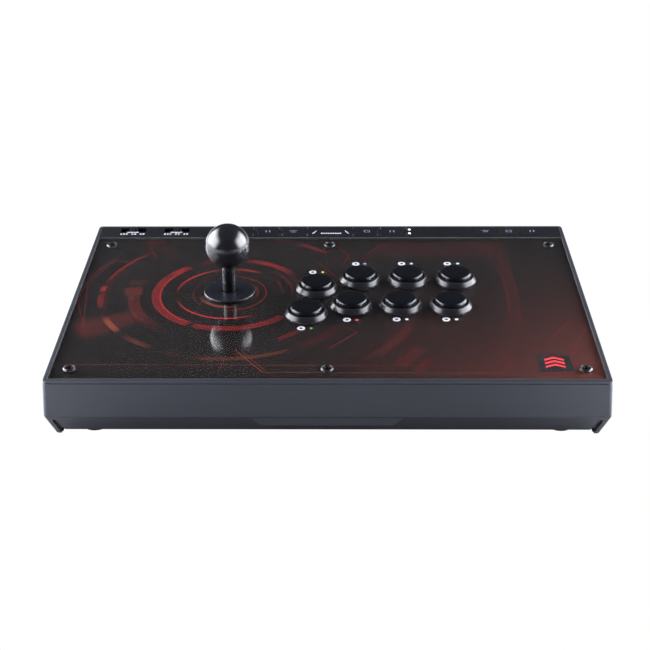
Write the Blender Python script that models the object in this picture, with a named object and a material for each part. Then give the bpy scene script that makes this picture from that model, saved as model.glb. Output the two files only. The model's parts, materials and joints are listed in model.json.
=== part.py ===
"""Arcade joystick panel: a low sloped case with one ball-top lever, eight push
buttons under a clear top panel, and a strip of small controls along the back.

World axes: X to the player's right, Y away from the player, Z up.
Sizes are in millimetres; MM turns them into metres when a mesh is made.
The panel frame (u, v, w) starts at the middle of the case's front top edge:
u along X, v up the slope towards the back, w out of the sloped top.
"""
import bpy
import bmesh
from math import asin, cos, pi, radians, sin, sqrt, tan
from mathutils import Matrix

MM = 0.001
GAP = 0.3                      # clearance between neighbouring pieces

# Case
CASE_HALF_WIDTH = 202.3        # at the split, the widest level
CASE_HALF_DEPTH = 133.0
TOP_HALF_WIDTH = 201.0         # at the sloped top
FRONT_TOP_Y = -132.0
FRONT_TOP_Z = 45.5
SLOPE = radians(4.0)
PANEL_LENGTH = 262.6           # from the front top edge to the back top edge, up the slope
SPLIT_Z = 17.8                 # underside of the top housing
WALL = 3.0
CORNER_RADIUS = 3.0
CORNER_STEPS = 3
FLOOR_Z = 5.0
WING_BOTTOM_Z = 1.2
SIDE_TAPER = tan(radians(21.0))
END_TAPER = tan(radians(22.0))
WING_THICKNESS = 4.0
CHANNEL_WIDTH = 4.5
CHANNEL_TOP_Z = 15.4
CHANNEL_DEPTH = 2.2
TONGUE_TOP_HALF_WIDTH = 54.5
TONGUE_BOTTOM_HALF_WIDTH = 47.0
TONGUE_BOTTOM_Z = 11.2
TONGUE_Y = (-132.8, -130.0)
FOOT_RADIUS = 9.5
FOOT_X = 169.0
FOOT_Y = 112.0

# Recesses of the top housing, in the panel frame
RIM_SIDE_U = 198.3
PANEL_FRONT_V = 4.4
PANEL_BACK_V = 239.8
STRIP_BACK_V = 261.0
PANEL_LEDGE_W = -5.75
STRIP_LEDGE_W = -3.3
CEILING_W = -8.5
OPENING_HALF_U = 172.0
OPENING_V = (30.0, 212.0)
STRIP_OPENING_HALF_U = 190.0
STRIP_OPENING_V = (243.0, 259.4)

# Panel layers, as (lowest w, highest w)
COVER_W = (-3.0, 0.0)
ART_W = (-3.55, -3.3)
STEEL_W = (-5.45, -3.85)
LEVER_PLATE_W = (-7.35, -5.75)
SCREWS = [(u, v) for v in (18.2, 224.1) for u in (-184.6, 0.0, 184.6)]
SCREW_HOLE_RADIUS = 2.7
SCREW_SHANK_RADIUS = 2.2
SCREW_BOTTOM_W = -15.0
BOSS_RADIUS = 4.6
BOSS_BOTTOM_W = -18.0
SCREW_HEAD = [(0.0, 1.3), (3.4, 1.3), (4.3, 0.9), (4.6, 0.3)]    # (r, w) from the middle outwards
HEX_SOCKET_RADIUS = 1.73
HEX_SOCKET_BOTTOM_W = -1.2
ROUND_SIDES = 16
PRISM_AXES = {"X": (1, 2, 0), "Y": (0, 2, 1), "Z": (0, 1, 2)}      # outline numbers, then length

# Push buttons
BUTTONS = [(-9.6, 143.9), (25.3, 159.2), (63.3, 159.3), (101.7, 159.1),
           (-16.7, 101.3), (17.9, 114.7), (56.2, 115.2), (94.8, 114.7)]
BUTTON_HOLE_RADIUS = 15.0
BUTTON_BARREL_RADIUS = 14.6
BUTTON_BARREL_BOTTOM_W = -17.0
BUTTON_BORE_BOTTOM_W = -15.0
SWITCH_BASE_RADIUS = 9.0
SWITCH_BASE_BOTTOM_W = -20.5
RIM_PROFILE = [(13.5, 4.2), (14.5, 4.0), (15.6, 3.0), (16.4, 1.6), (16.65, 0.8), (16.65, 0.3)]
PLUNGER_RADIUS = 12.4
PLUNGER_CROWN = [(0.0, 7.9), (9.0, 7.75), (11.5, 7.2), (12.4, 6.0)]
PLUNGER_SKIRT_W = -7.0
PLUNGER_STEM_RADIUS = 4.0
PLUNGER_BOTTOM_W = -10.5

# Lever
LEVER = (-78.5, 138.6)
PIVOT_W = -17.0
LEVER_HOLE_RADIUS = 12.0
SHUTTER_WELL_RADIUS = 18.0
BALL_RADIUS = 17.5
BALL_CENTRE_H = 57.0           # heights H are along the lever, from its pivot
BALL_FLAT = 16.5
SHAFT_RADIUS = 3.0
COVER_RADIUS = 5.25
COVER_H = (9.0, 40.2)
PIVOT_BALL_RADIUS = 7.0
ACTUATOR_RADIUS = 7.1
ACTUATOR_H = (-22.95, -13.0)
RING_H = (-23.95, -23.25)
SHAFT_BOTTOM_H = -28.0
HOUSING_HALF = 26.5
HOUSING_H = (-10.65, 9.35)
SWITCH_BOARD_H = (-12.6, -11.0)
GATE_H = (-27.3, -11.0)
GATE_FLOOR = 1.9
GATE_HALF = 25.1
GATE_HOLE_HALF = 7.6
SPRING_H = (-12.0, -5.4)
SPRING_TURNS = 3.5
SPRING_STEPS = 10              # per turn
SPRING_RADIUS = 5.8
SPRING_WIRE_RADIUS = 0.65
SWITCH_BOXES = [((13.0, -10.0), (19.5, 10.0)), ((-19.5, -10.0), (-13.0, 10.0)),
                ((-10.0, 13.0), (10.0, 19.5)), ((-10.0, -19.5), (10.0, -13.0))]
SWITCH_BOTTOM_H = -22.6
LEVER_PLATE_HALF = (48.5, 30.0)
WASHER_RADIUS = 20.1
WASHER_W = (0.3, 1.5)
SHUTTER_W = (-5.45, -4.15)

# Control strip
STRIP_V = (240.1, 260.7)
STRIP_HALF_U = 198.0
STRIP_W = (-3.0, 0.0)
SLIDER_V = 254.4
SLIDER_SLOT = (22.0, 8.4)
SLIDER_U = (-170.5, -132.8)
SLIDER_KNOB = (6.8, 7.7)
KEY_V = 251.6
KEY_HEIGHT = 14.2
KEY_WIDTH = 18.9
KEY_U = (-53.7, -31.7, 31.9, 53.6)
KEY_SLANT = (-1.6, -1.4, 1.0, 1.5)   # sideways lean at the top edge and, the other way, at the bottom
CLUSTER_U = (134.2, 154.2, 174.2)
CLUSTER_WIDTH = 19.4
CLUSTER_HEIGHT = 15.0
CLUSTER_SLANT = 1.6
LIGHT_U = 68.6
LIGHT_V = (255.4, 247.8)
LIGHT_RADIUS = 1.1
KEY_TOP_W = 0.3
FLANGE_W = (-4.1, -3.3)
BOARD_W = (-10.4, -8.8)
BOARD_HALF_U = 191.0
BOARD_V = (241.0, 258.4)
KEY_SWITCH_HALF = 3.0
KEY_SWITCH_TOP_W = -7.1
SLIDE_SWITCH_HALF = (8.0, 3.5)
SLIDE_SWITCH_TOP_W = -5.5

# Electronics
SOCKET_X = 120.0
SOCKET_LOW = (113.6, 117.0, 21.4)
SOCKET_HIGH = (126.4, 132.6, 32.9)
PLUG_CAVITY = (8.6, 9.0, 7.8)
MAIN_BOARD_LOW = (88.0, 70.0, 19.5)
MAIN_BOARD_HIGH = (152.0, 128.0, 21.1)
POST_RADIUS = 3.0
CHIPS = [((100.0, 84.0, 20.5), (114.0, 98.0, 23.0)), ((96.0, 71.5, 20.5), (112.0, 77.0, 26.5)),
         ((128.0, 71.5, 20.5), (140.0, 77.0, 26.5))]
HARNESS_RADIUS = 1.6
BUTTON_HARNESS = [(104.0, 69.0, 24.0), (104.0, 56.0, 23.5), (101.0, 40.0, 23.0), (80.0, 27.0, 23.0),
                  (45.0, 27.0, 23.0), (8.0, 24.0, 22.5), (-20.0, 8.0, 22.0), (-26.0, -18.0, 21.0),
                  (-8.0, -28.0, 20.5), (22.0, -20.0, 20.5), (58.0, -17.0, 20.5), (95.0, -17.0, 20.5)]
LEVER_HARNESS = [(-50.5, 8.7, 19.6), (-38.0, 8.0, 19.0), (-30.0, 28.0, 16.0), (-10.0, 48.0, 14.0),
                 (40.0, 54.0, 14.0), (100.0, 52.0, 16.0), (130.0, 56.0, 20.0), (134.0, 62.0, 23.0),
                 (134.0, 69.0, 24.0)]


def clear_scene():
    for item in list(bpy.data.objects):
        bpy.data.objects.remove(item, do_unlink=True)


def finish(name, colour, roughness, metallic=0.0):
    """One Principled material per sub-part."""
    material = bpy.data.materials.new(name)
    material.use_nodes = True
    shader = material.node_tree.nodes["Principled BSDF"]
    shader.inputs["Base Color"].default_value = (*colour, 1.0)
    shader.inputs["Roughness"].default_value = roughness
    shader.inputs["Metallic"].default_value = metallic
    return material


def slate(name):
    return finish(name, (0.050, 0.053, 0.060), 0.42)


def black_gloss(name):
    return finish(name, (0.008, 0.008, 0.009), 0.12)


def steel(name):
    return finish(name, (0.45, 0.45, 0.46), 0.35, 1.0)


def board_green(name):
    return finish(name, (0.02, 0.10, 0.05), 0.45)


def frame_empty(name, place, parent=None, tilt=0.0):
    """An empty that carries pieces, at a place in millimetres in its parent's frame."""
    empty = bpy.data.objects.new(name, None)
    bpy.context.collection.objects.link(empty)
    empty.parent = parent
    empty.location = [c * MM for c in place]
    empty.rotation_euler = (tilt, 0.0, 0.0)
    return empty


def solid(name, bm, material=None, parent=None, place=(0.0, 0.0, 0.0)):
    """Turn a bmesh in millimetres into a named object; without a material it is a cutter."""
    bmesh.ops.recalc_face_normals(bm, faces=bm.faces)
    bmesh.ops.scale(bm, vec=(MM, MM, MM), verts=bm.verts)
    mesh = bpy.data.meshes.new(name)
    bm.to_mesh(mesh)
    bm.free()
    piece = bpy.data.objects.new(name, mesh)
    bpy.context.collection.objects.link(piece)
    piece.parent = parent
    piece.location = [c * MM for c in place]
    if material:
        mesh.materials.append(material)
        mesh.shade_smooth()
        mesh.set_sharp_from_angle(angle=radians(35.0))
    else:
        piece.hide_render = True
        piece.display_type = "WIRE"
    return piece


def combine(piece, operation, tool):
    """Add a live Boolean: DIFFERENCE cuts the tool away, UNION joins it on."""
    modifier = piece.modifiers.new(tool.name, "BOOLEAN")
    modifier.operation = operation
    modifier.object = tool


def add_box(bm, low, high):
    centre = [(a + b) / 2 for a, b in zip(low, high)]
    size = [b - a for a, b in zip(low, high)]
    place = Matrix.Translation(centre) @ Matrix.Diagonal((*size, 1.0))
    bmesh.ops.create_cube(bm, size=1.0, matrix=place)


def add_disc(bm, centre, radius, low, high, sides=ROUND_SIDES):
    """A cylinder along Z, standing on low and reaching high."""
    place = Matrix.Translation((centre[0], centre[1], (low + high) / 2))
    bmesh.ops.create_cone(bm, cap_ends=True, cap_tris=False, segments=sides, radius1=radius,
                          radius2=radius, depth=high - low, matrix=place)


def add_prism(bm, outline, low, high, axis="Z"):
    """Extrude a closed outline along an axis; its numbers run along the other two, in order."""
    first, second, along = PRISM_AXES[axis]
    ring = []
    for a, b in outline:
        point = [0.0, 0.0, 0.0]
        point[first] = a
        point[second] = b
        point[along] = low
        ring.append(bm.verts.new(point))
    lift = [0.0, 0.0, 0.0]
    lift[along] = high - low
    moved = bmesh.ops.extrude_face_region(bm, geom=[bm.faces.new(ring)])["geom"]
    bmesh.ops.translate(bm, vec=lift, verts=[g for g in moved if isinstance(g, bmesh.types.BMVert)])


def box(low, high):
    bm = bmesh.new()
    add_box(bm, low, high)
    return bm


def prism(outline, low, high, axis="Z"):
    bm = bmesh.new()
    add_prism(bm, outline, low, high, axis)
    return bm


def discs(centres, radius, low, high, sides=ROUND_SIDES):
    bm = bmesh.new()
    for centre in centres:
        add_disc(bm, centre, radius, low, high, sides)
    return bm


def turned(profile, sides=ROUND_SIDES):
    """Spin an (r, z) outline about Z; one that does not end on the axis is closed first."""
    bm = bmesh.new()
    verts = [bm.verts.new((r, 0.0, z)) for r, z in profile]
    edges = [bm.edges.new(pair) for pair in zip(verts, verts[1:])]
    if profile[0][0] > 0.0:
        edges.append(bm.edges.new((verts[-1], verts[0])))
    bmesh.ops.spin(bm, geom=verts + edges, axis=(0, 0, 1), cent=(0, 0, 0), angle=2 * pi, steps=sides)
    bmesh.ops.remove_doubles(bm, verts=bm.verts, dist=0.0001)
    return bm


def add_loft(bm, rings):
    """Join equal rings of points into a closed solid, first ring to last."""
    loops = [[bm.verts.new(point) for point in ring] for ring in rings]
    count = len(loops[0])
    for lower, upper in zip(loops, loops[1:]):
        for i in range(count):
            j = (i + 1) % count
            bm.faces.new((lower[i], lower[j], upper[j], upper[i]))
    bm.faces.new(reversed(loops[0]))
    bm.faces.new(loops[-1])


def loft(rings):
    bm = bmesh.new()
    add_loft(bm, rings)
    return bm


def rounded_rectangle(half_x, half_y, radius, steps=CORNER_STEPS):
    """Outline points, anticlockwise, with an arc at each corner."""
    points = []
    for index, (sx, sy) in enumerate([(1, -1), (1, 1), (-1, 1), (-1, -1)]):
        for step in range(steps + 1):
            angle = -pi / 2 + index * pi / 2 + step / steps * pi / 2
            points.append((sx * (half_x - radius) + radius * cos(angle),
                           sy * (half_y - radius) + radius * sin(angle)))
    return points


def stadium(half_length, radius, steps=6):
    """A slot outline, long along the second axis."""
    points = []
    for sign in (1, -1):
        for step in range(steps + 1):
            angle = (0.0 if sign > 0 else pi) + step / steps * pi
            along = sign * (half_length - radius) + radius * sin(angle)
            points.append((radius * cos(angle), along))
    return points


def square(half):
    return rounded_rectangle(half, half, 2.0, 2)


# ---------------------------------------------------------------- case shells

def top_wall_ring(inset, w):
    """Ring round the drafted outer wall, moved inwards by inset, where it meets the plane at w."""
    ring = []
    half_depth = CASE_HALF_DEPTH - inset
    top_front = FRONT_TOP_Y + inset
    top_back = FRONT_TOP_Y + PANEL_LENGTH * cos(SLOPE) - inset
    radius = max(CORNER_RADIUS - inset, 0.8)
    for x, y in rounded_rectangle(CASE_HALF_WIDTH - inset, half_depth, radius):
        share = (y + half_depth) / (2 * half_depth)
        top_x = x * (TOP_HALF_WIDTH - inset) / (CASE_HALF_WIDTH - inset)
        top_y = top_front + share * (top_back - top_front)
        top_z = FRONT_TOP_Z + (top_y - FRONT_TOP_Y) * tan(SLOPE)
        drop = w / cos(SLOPE)
        rise = (top_z - SPLIT_Z + drop) / (top_z - SPLIT_Z)
        z = SPLIT_Z + rise * (top_z - SPLIT_Z)
        ring.append((x + rise * (top_x - x), y + rise * (top_y - y), z))
    return ring


def flat_wall_ring(inset, z):
    """The same wall where it meets a level plane near the split."""
    radius = max(CORNER_RADIUS - inset, 0.8)
    points = rounded_rectangle(CASE_HALF_WIDTH - inset, CASE_HALF_DEPTH - inset, radius)
    return [(x, y, z) for x, y in points]


def make_top_housing(panel):
    """Sloped shell with a stepped recess for the panel and the strip, and six screw bosses."""
    shell = loft([flat_wall_ring(0.0, SPLIT_Z), top_wall_ring(0.0, 0.0)])
    piece = solid("top_housing", shell, slate("housing_slate"))
    inside = loft([flat_wall_ring(WALL, SPLIT_Z - 1.0), flat_wall_ring(WALL, SPLIT_Z),
                   top_wall_ring(WALL, CEILING_W)])
    cavity = solid("top_cavity", inside)
    steps = [(PANEL_FRONT_V, 10.0), (PANEL_FRONT_V, PANEL_LEDGE_W), (PANEL_BACK_V, PANEL_LEDGE_W),
             (PANEL_BACK_V, STRIP_LEDGE_W), (STRIP_BACK_V, STRIP_LEDGE_W), (STRIP_BACK_V, 10.0)]
    recess = solid("top_recess", prism(steps, -RIM_SIDE_U, RIM_SIDE_U, "X"), parent=panel)
    openings = box((-OPENING_HALF_U, OPENING_V[0], CEILING_W - 1.0),
                   (OPENING_HALF_U, OPENING_V[1], 0.0))
    add_box(openings, (-STRIP_OPENING_HALF_U, STRIP_OPENING_V[0], CEILING_W - 1.0),
            (STRIP_OPENING_HALF_U, STRIP_OPENING_V[1], 0.0))
    through = solid("top_openings", openings, parent=panel)
    studs = discs(SCREWS, BOSS_RADIUS, BOSS_BOTTOM_W, CEILING_W + 1.0, 12)
    bosses = solid("top_bosses", studs, parent=panel)
    holes = discs(SCREWS, SCREW_SHANK_RADIUS + GAP, BOSS_BOTTOM_W + 2.0, 0.0, 12)
    bores = solid("top_bores", holes, parent=panel)
    room = 2 * GAP
    mouth = box((SOCKET_LOW[0] - room, CASE_HALF_DEPTH - 8.0, SOCKET_LOW[2] - room),
                (SOCKET_HIGH[0] + room, CASE_HALF_DEPTH + 5.0, SOCKET_HIGH[2] + room))
    socket = solid("top_socket_hole", mouth)
    combine(piece, "DIFFERENCE", cavity)
    combine(piece, "DIFFERENCE", recess)
    combine(piece, "DIFFERENCE", through)
    combine(piece, "UNION", bosses)
    combine(piece, "DIFFERENCE", bores)
    combine(piece, "DIFFERENCE", socket)


def lower_ring(inset, z):
    """Ring of the tapered lower case, which narrows downwards from the split."""
    drop = SPLIT_Z - GAP - z
    half_x = CASE_HALF_WIDTH - 0.4 - inset - drop * SIDE_TAPER
    half_y = CASE_HALF_DEPTH - 0.4 - inset - drop * END_TAPER
    return [(x, y, z) for x, y in rounded_rectangle(half_x, half_y, 2.0)]


def make_bottom_housing():
    """Tapered tray with a wing down each side, a channel inside each corner and a front tongue."""
    split = SPLIT_Z - GAP
    shell = loft([lower_ring(0.0, WING_BOTTOM_Z), lower_ring(0.0, split)])
    piece = solid("bottom_housing", shell, slate("lower_slate"))
    floor_inside = FLOOR_Z + WALL
    inside = loft([lower_ring(WALL, floor_inside), lower_ring(WALL, split), lower_ring(WALL, split + 1.0)])
    cavity = solid("bottom_cavity", inside)

    def wing_inner(z):
        return CASE_HALF_WIDTH - 0.4 - (split - z) * SIDE_TAPER - WING_THICKNESS

    def wall_y(z):
        return CASE_HALF_DEPTH - 0.4 - (split - z) * END_TAPER

    thicker = 0.8
    under = [(-wing_inner(-1.0) + thicker, -1.0), (wing_inner(-1.0) - thicker, -1.0),
             (wing_inner(FLOOR_Z) - thicker, FLOOR_Z), (-wing_inner(FLOOR_Z) + thicker, FLOOR_Z)]
    below = prism(under, -2 * CASE_HALF_DEPTH, 2 * CASE_HALF_DEPTH, "Y")
    underside = solid("underside_cut", below)
    grooves = bmesh.new()
    crown = CHANNEL_TOP_Z - CHANNEL_WIDTH / 2
    for side in (1, -1):
        outline = [(side * wing_inner(0.0), 0.0), (side * wing_inner(crown), crown),
                   (side * (wing_inner(CHANNEL_TOP_Z) - 1.2), CHANNEL_TOP_Z - 0.6),
                   (side * (wing_inner(CHANNEL_TOP_Z) - CHANNEL_WIDTH / 2), CHANNEL_TOP_Z),
                   (side * (wing_inner(CHANNEL_TOP_Z) - CHANNEL_WIDTH + 1.2), CHANNEL_TOP_Z - 0.6),
                   (side * (wing_inner(crown) - CHANNEL_WIDTH), crown),
                   (side * (wing_inner(0.0) - CHANNEL_WIDTH), 0.0)]
        for end in (1, -1):
            deep = [(x, end * (wall_y(z) - CHANNEL_DEPTH), z) for x, z in outline]
            clear = [(x, end * (CASE_HALF_DEPTH + 2.0), z) for x, z in outline]
            add_loft(grooves, [deep, clear])
    channels = solid("corner_channels", grooves)
    tongue_outline = [(-TONGUE_TOP_HALF_WIDTH, split - 0.3), (-TONGUE_BOTTOM_HALF_WIDTH, TONGUE_BOTTOM_Z),
                      (TONGUE_BOTTOM_HALF_WIDTH, TONGUE_BOTTOM_Z), (TONGUE_TOP_HALF_WIDTH, split - 0.3)]
    tongue = solid("front_tongue", prism(tongue_outline, *TONGUE_Y, "Y"))
    corners = [(x, y) for x in (MAIN_BOARD_LOW[0] + 5.0, MAIN_BOARD_HIGH[0] - 5.0)
               for y in (MAIN_BOARD_LOW[1] + 5.0, MAIN_BOARD_HIGH[1] - 5.0)]
    pegs = discs(corners, POST_RADIUS, floor_inside - 1.0, MAIN_BOARD_LOW[2] - GAP, 12)
    posts = solid("board_posts", pegs)
    combine(piece, "DIFFERENCE", cavity)
    combine(piece, "DIFFERENCE", underside)
    combine(piece, "DIFFERENCE", channels)
    combine(piece, "UNION", tongue)
    combine(piece, "UNION", posts)


def make_feet():
    profile = [(0.0, FLOOR_Z - GAP), (FOOT_RADIUS, FLOOR_Z - GAP), (FOOT_RADIUS, 0.8),
               (FOOT_RADIUS - 0.8, 0.0), (0.0, 0.0)]
    rubber = finish("foot_rubber", (0.015, 0.015, 0.016), 0.75)
    places = [(x, y) for y in (-FOOT_Y, FOOT_Y) for x in (-FOOT_X, FOOT_X)]
    for index, (x, y) in enumerate(places):
        solid(f"foot_{index + 1}", turned(profile), rubber, place=(x, y, 0.0))


# ---------------------------------------------------------------- top panel

def make_panel_layers(panel):
    """Steel plate, printed art sheet and clear cover, all with the same holes."""
    holes = discs(SCREWS, SCREW_HOLE_RADIUS, -12.0, 3.0, 12)
    for centre in BUTTONS:
        add_disc(holes, centre, BUTTON_HOLE_RADIUS, -12.0, 3.0)
    add_disc(holes, LEVER, LEVER_HOLE_RADIUS, -12.0, 3.0)
    cutter = solid("panel_holes", holes, parent=panel)
    well = solid("shutter_well", discs([LEVER], SHUTTER_WELL_RADIUS, -12.0, 3.0), parent=panel)
    layers = [("panel_plate", STEEL_W, 0.4, steel("panel_steel")),
              ("art_sheet", ART_W, 0.4, finish("art_print", (0.03, 0.008, 0.008), 0.4)),
              ("panel_cover", COVER_W, 0.3, finish("clear_cover", (0.02, 0.01, 0.01), 0.05))]
    for name, (low, high), margin, material in layers:
        bm = box((-RIM_SIDE_U + margin, PANEL_FRONT_V + margin, low),
                 (RIM_SIDE_U - margin, PANEL_BACK_V - margin, high))
        piece = solid(name, bm, material, panel)
        combine(piece, "DIFFERENCE", cutter)
        if name == "panel_plate":
            combine(piece, "DIFFERENCE", well)


def make_panel_screws(panel):
    """Low flat-topped screws with a bevelled edge and a hexagon socket."""
    profile = SCREW_HEAD + [(SCREW_SHANK_RADIUS, GAP), (SCREW_SHANK_RADIUS, SCREW_BOTTOM_W),
                            (0.0, SCREW_BOTTOM_W)]
    black = finish("screw_black", (0.02, 0.02, 0.021), 0.25, 0.6)
    for index, (u, v) in enumerate(SCREWS):
        piece = solid(f"panel_screw_{index + 1}", turned(profile, 16), black, panel, (u, v, 0.0))
        hexagon = discs([(0.0, 0.0)], HEX_SOCKET_RADIUS, HEX_SOCKET_BOTTOM_W, 5.0, 6)
        socket = solid(f"hex_socket_{index + 1}", hexagon, None, panel, (u, v, 0.0))
        combine(piece, "DIFFERENCE", socket)


def make_buttons(panel):
    """Snap-in 30 mm buttons: a rimmed housing with its switch base, and a plunger."""
    bore = PLUNGER_RADIUS + 0.4
    housing = [(0.0, BUTTON_BORE_BOTTOM_W), (bore, BUTTON_BORE_BOTTOM_W), (bore, 3.8)] + RIM_PROFILE
    housing += [(BUTTON_BARREL_RADIUS, GAP), (BUTTON_BARREL_RADIUS, BUTTON_BARREL_BOTTOM_W),
                (SWITCH_BASE_RADIUS, BUTTON_BARREL_BOTTOM_W), (SWITCH_BASE_RADIUS, SWITCH_BASE_BOTTOM_W),
                (0.0, SWITCH_BASE_BOTTOM_W)]
    plunger = PLUNGER_CROWN + [(PLUNGER_RADIUS, PLUNGER_SKIRT_W), (PLUNGER_STEM_RADIUS, PLUNGER_SKIRT_W),
                               (PLUNGER_STEM_RADIUS, PLUNGER_BOTTOM_W), (0.0, PLUNGER_BOTTOM_W)]
    black = black_gloss("button_black")
    for index, (u, v) in enumerate(BUTTONS):
        solid(f"button_housing_{index + 1}", turned(housing), black, panel, (u, v, 0.0))
        solid(f"button_plunger_{index + 1}", turned(plunger), black, panel, (u, v, 0.0))


# ---------------------------------------------------------------- lever

def make_lever(panel):
    """Pieces of the lever; the pivot empty marks where both tilt axes cross."""
    pivot = frame_empty("lever_pivot", (LEVER[0], LEVER[1], PIVOT_W), panel)
    zinc = steel("lever_zinc")
    nylon = finish("lever_nylon", (0.012, 0.012, 0.013), 0.4)

    lowest = -asin(BALL_FLAT / BALL_RADIUS)
    angles = [lowest + step / 12 * (pi / 2 - lowest) for step in range(12)]
    arc = [(BALL_RADIUS * cos(angle), BALL_RADIUS * sin(angle)) for angle in angles]
    knob = [(0.0, 4.0), (3.4, 4.0), (3.4, -BALL_FLAT)] + arc + [(0.0, BALL_RADIUS)]
    lifted = [(r, z + BALL_CENTRE_H) for r, z in knob]
    solid("ball_top", turned(lifted, 24), black_gloss("ball_black"), pivot)

    bore_radius = SHAFT_RADIUS + GAP
    tube = [(bore_radius, COVER_H[0]), (COVER_RADIUS, COVER_H[0]),
            (COVER_RADIUS, COVER_H[1]), (bore_radius, COVER_H[1])]
    solid("shaft_cover", turned(tube), nylon, pivot)
    groove = (RING_H[0] - GAP, RING_H[1] + GAP)
    shaft_top = BALL_CENTRE_H + 3.7
    shaft = [(0.0, SHAFT_BOTTOM_H), (SHAFT_RADIUS, SHAFT_BOTTOM_H), (SHAFT_RADIUS, groove[0]),
             (2.3, groove[0]), (2.3, groove[1]), (SHAFT_RADIUS, groove[1]), (SHAFT_RADIUS, shaft_top),
             (0.0, shaft_top)]
    solid("lever_shaft", turned(shaft, 16), zinc, pivot)
    actuator = [(bore_radius, ACTUATOR_H[0]), (ACTUATOR_RADIUS - 0.6, ACTUATOR_H[0]),
                (ACTUATOR_RADIUS, ACTUATOR_H[0] + 0.6), (ACTUATOR_RADIUS, ACTUATOR_H[1]),
                (bore_radius, ACTUATOR_H[1])]
    solid("lever_actuator", turned(actuator), nylon, pivot)
    washer = [(2.6, RING_H[0]), (5.0, RING_H[0]), (5.0, RING_H[1]), (2.6, RING_H[1])]
    ring = solid("retaining_ring", turned(washer, 16), zinc, pivot)
    mouth = solid("ring_mouth", box((-1.6, 0.0, RING_H[0] - 1.0), (1.6, 8.0, RING_H[1] + 1.0)), None, pivot)
    combine(ring, "DIFFERENCE", mouth)
    make_return_spring(pivot)

    ball_steps = [(PIVOT_BALL_RADIUS * cos(a), PIVOT_BALL_RADIUS * sin(a))
                  for a in [-pi / 2 + step / 8 * pi for step in range(9)]]
    ball_steps[0] = (0.0, -PIVOT_BALL_RADIUS)
    ball_steps[-1] = (0.0, PIVOT_BALL_RADIUS)
    ball = solid("pivot_ball", turned(ball_steps, 16), nylon, pivot)
    slot = solid("pivot_slot", prism(stadium(4.6, 3.3), -9.0, 9.0), None, pivot)
    combine(ball, "DIFFERENCE", slot)

    seat = PIVOT_BALL_RADIUS + GAP
    bore = [(0.0, 11.0), (9.5, 11.0), (9.5, HOUSING_H[1])]
    bore += [(sqrt(seat ** 2 - h ** 2), h) for h in (5.0, 3.5, 1.8, 0.0)]
    bore += [(seat, -3.0), (12.0, HOUSING_H[0]), (12.0, -12.0), (0.0, -12.0)]
    body = solid("lever_housing", prism(square(HOUSING_HALF), HOUSING_H[0], HOUSING_H[1]),
                 finish("lever_body", (0.05, 0.05, 0.055), 0.5), pivot)
    room = prism(square(HOUSING_HALF - 2.5), -12.0, HOUSING_H[1] - 3.0)
    hollow = solid("lever_hollow", room, None, pivot)
    post = discs([(0.0, 0.0)], 14.5, HOUSING_H[0], HOUSING_H[1] - 1.0)
    core = solid("lever_core", post, None, pivot)
    seat_cut = solid("lever_seat", turned(bore), None, pivot)
    combine(body, "DIFFERENCE", hollow)
    combine(body, "UNION", core)
    combine(body, "DIFFERENCE", seat_cut)

    board = solid("lever_switch_board", prism(square(23.2), SWITCH_BOARD_H[0], SWITCH_BOARD_H[1]),
                  board_green("lever_board"), pivot)
    switches = bmesh.new()
    for low, high in SWITCH_BOXES:
        add_box(switches, (*low, SWITCH_BOTTOM_H), (*high, SWITCH_BOARD_H[0] + 0.5))
    combine(board, "UNION", solid("microswitches", switches, None, pivot))
    eye = discs([(0.0, 0.0)], 12.8, -14.0, -10.0)
    combine(board, "DIFFERENCE", solid("board_eye", eye, None, pivot))

    gate = solid("restrictor_gate", prism(square(GATE_HALF), GATE_H[0], GATE_H[1]),
                 finish("gate_nylon", (0.03, 0.03, 0.032), 0.45), pivot)
    inside = prism(square(GATE_HALF - 1.6), GATE_H[0] + GATE_FLOOR, 0.0)
    tray = solid("gate_tray", inside, None, pivot)
    window = box((-GATE_HOLE_HALF, -GATE_HOLE_HALF, -30.0), (GATE_HOLE_HALF, GATE_HOLE_HALF, -24.0))
    add_box(window, (GATE_HALF - 3.0, -6.0, -22.0), (GATE_HALF + 2.0, 6.0, -14.0))
    combine(gate, "DIFFERENCE", tray)
    combine(gate, "DIFFERENCE", solid("gate_window", window, None, pivot))


def make_return_spring(pivot):
    """Compression coil between the actuator and the pivot ball."""
    bottom, top = SPRING_H
    curve = bpy.data.curves.new("return_spring", "CURVE")
    curve.dimensions = "3D"
    curve.bevel_depth = SPRING_WIRE_RADIUS * MM
    curve.bevel_resolution = 1
    curve.use_fill_caps = True
    count = int(SPRING_TURNS * SPRING_STEPS) + 1
    spline = curve.splines.new("POLY")
    spline.points.add(count - 1)
    for index in range(count):
        angle = index / SPRING_STEPS * 2 * pi
        height = bottom + (top - bottom) * index / (count - 1)
        place = (SPRING_RADIUS * cos(angle), SPRING_RADIUS * sin(angle), height)
        spline.points[index].co = (*[c * MM for c in place], 1.0)
    curve.materials.append(steel("spring_wire"))
    spring = bpy.data.objects.new("return_spring", curve)
    bpy.context.collection.objects.link(spring)
    spring.parent = pivot


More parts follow.
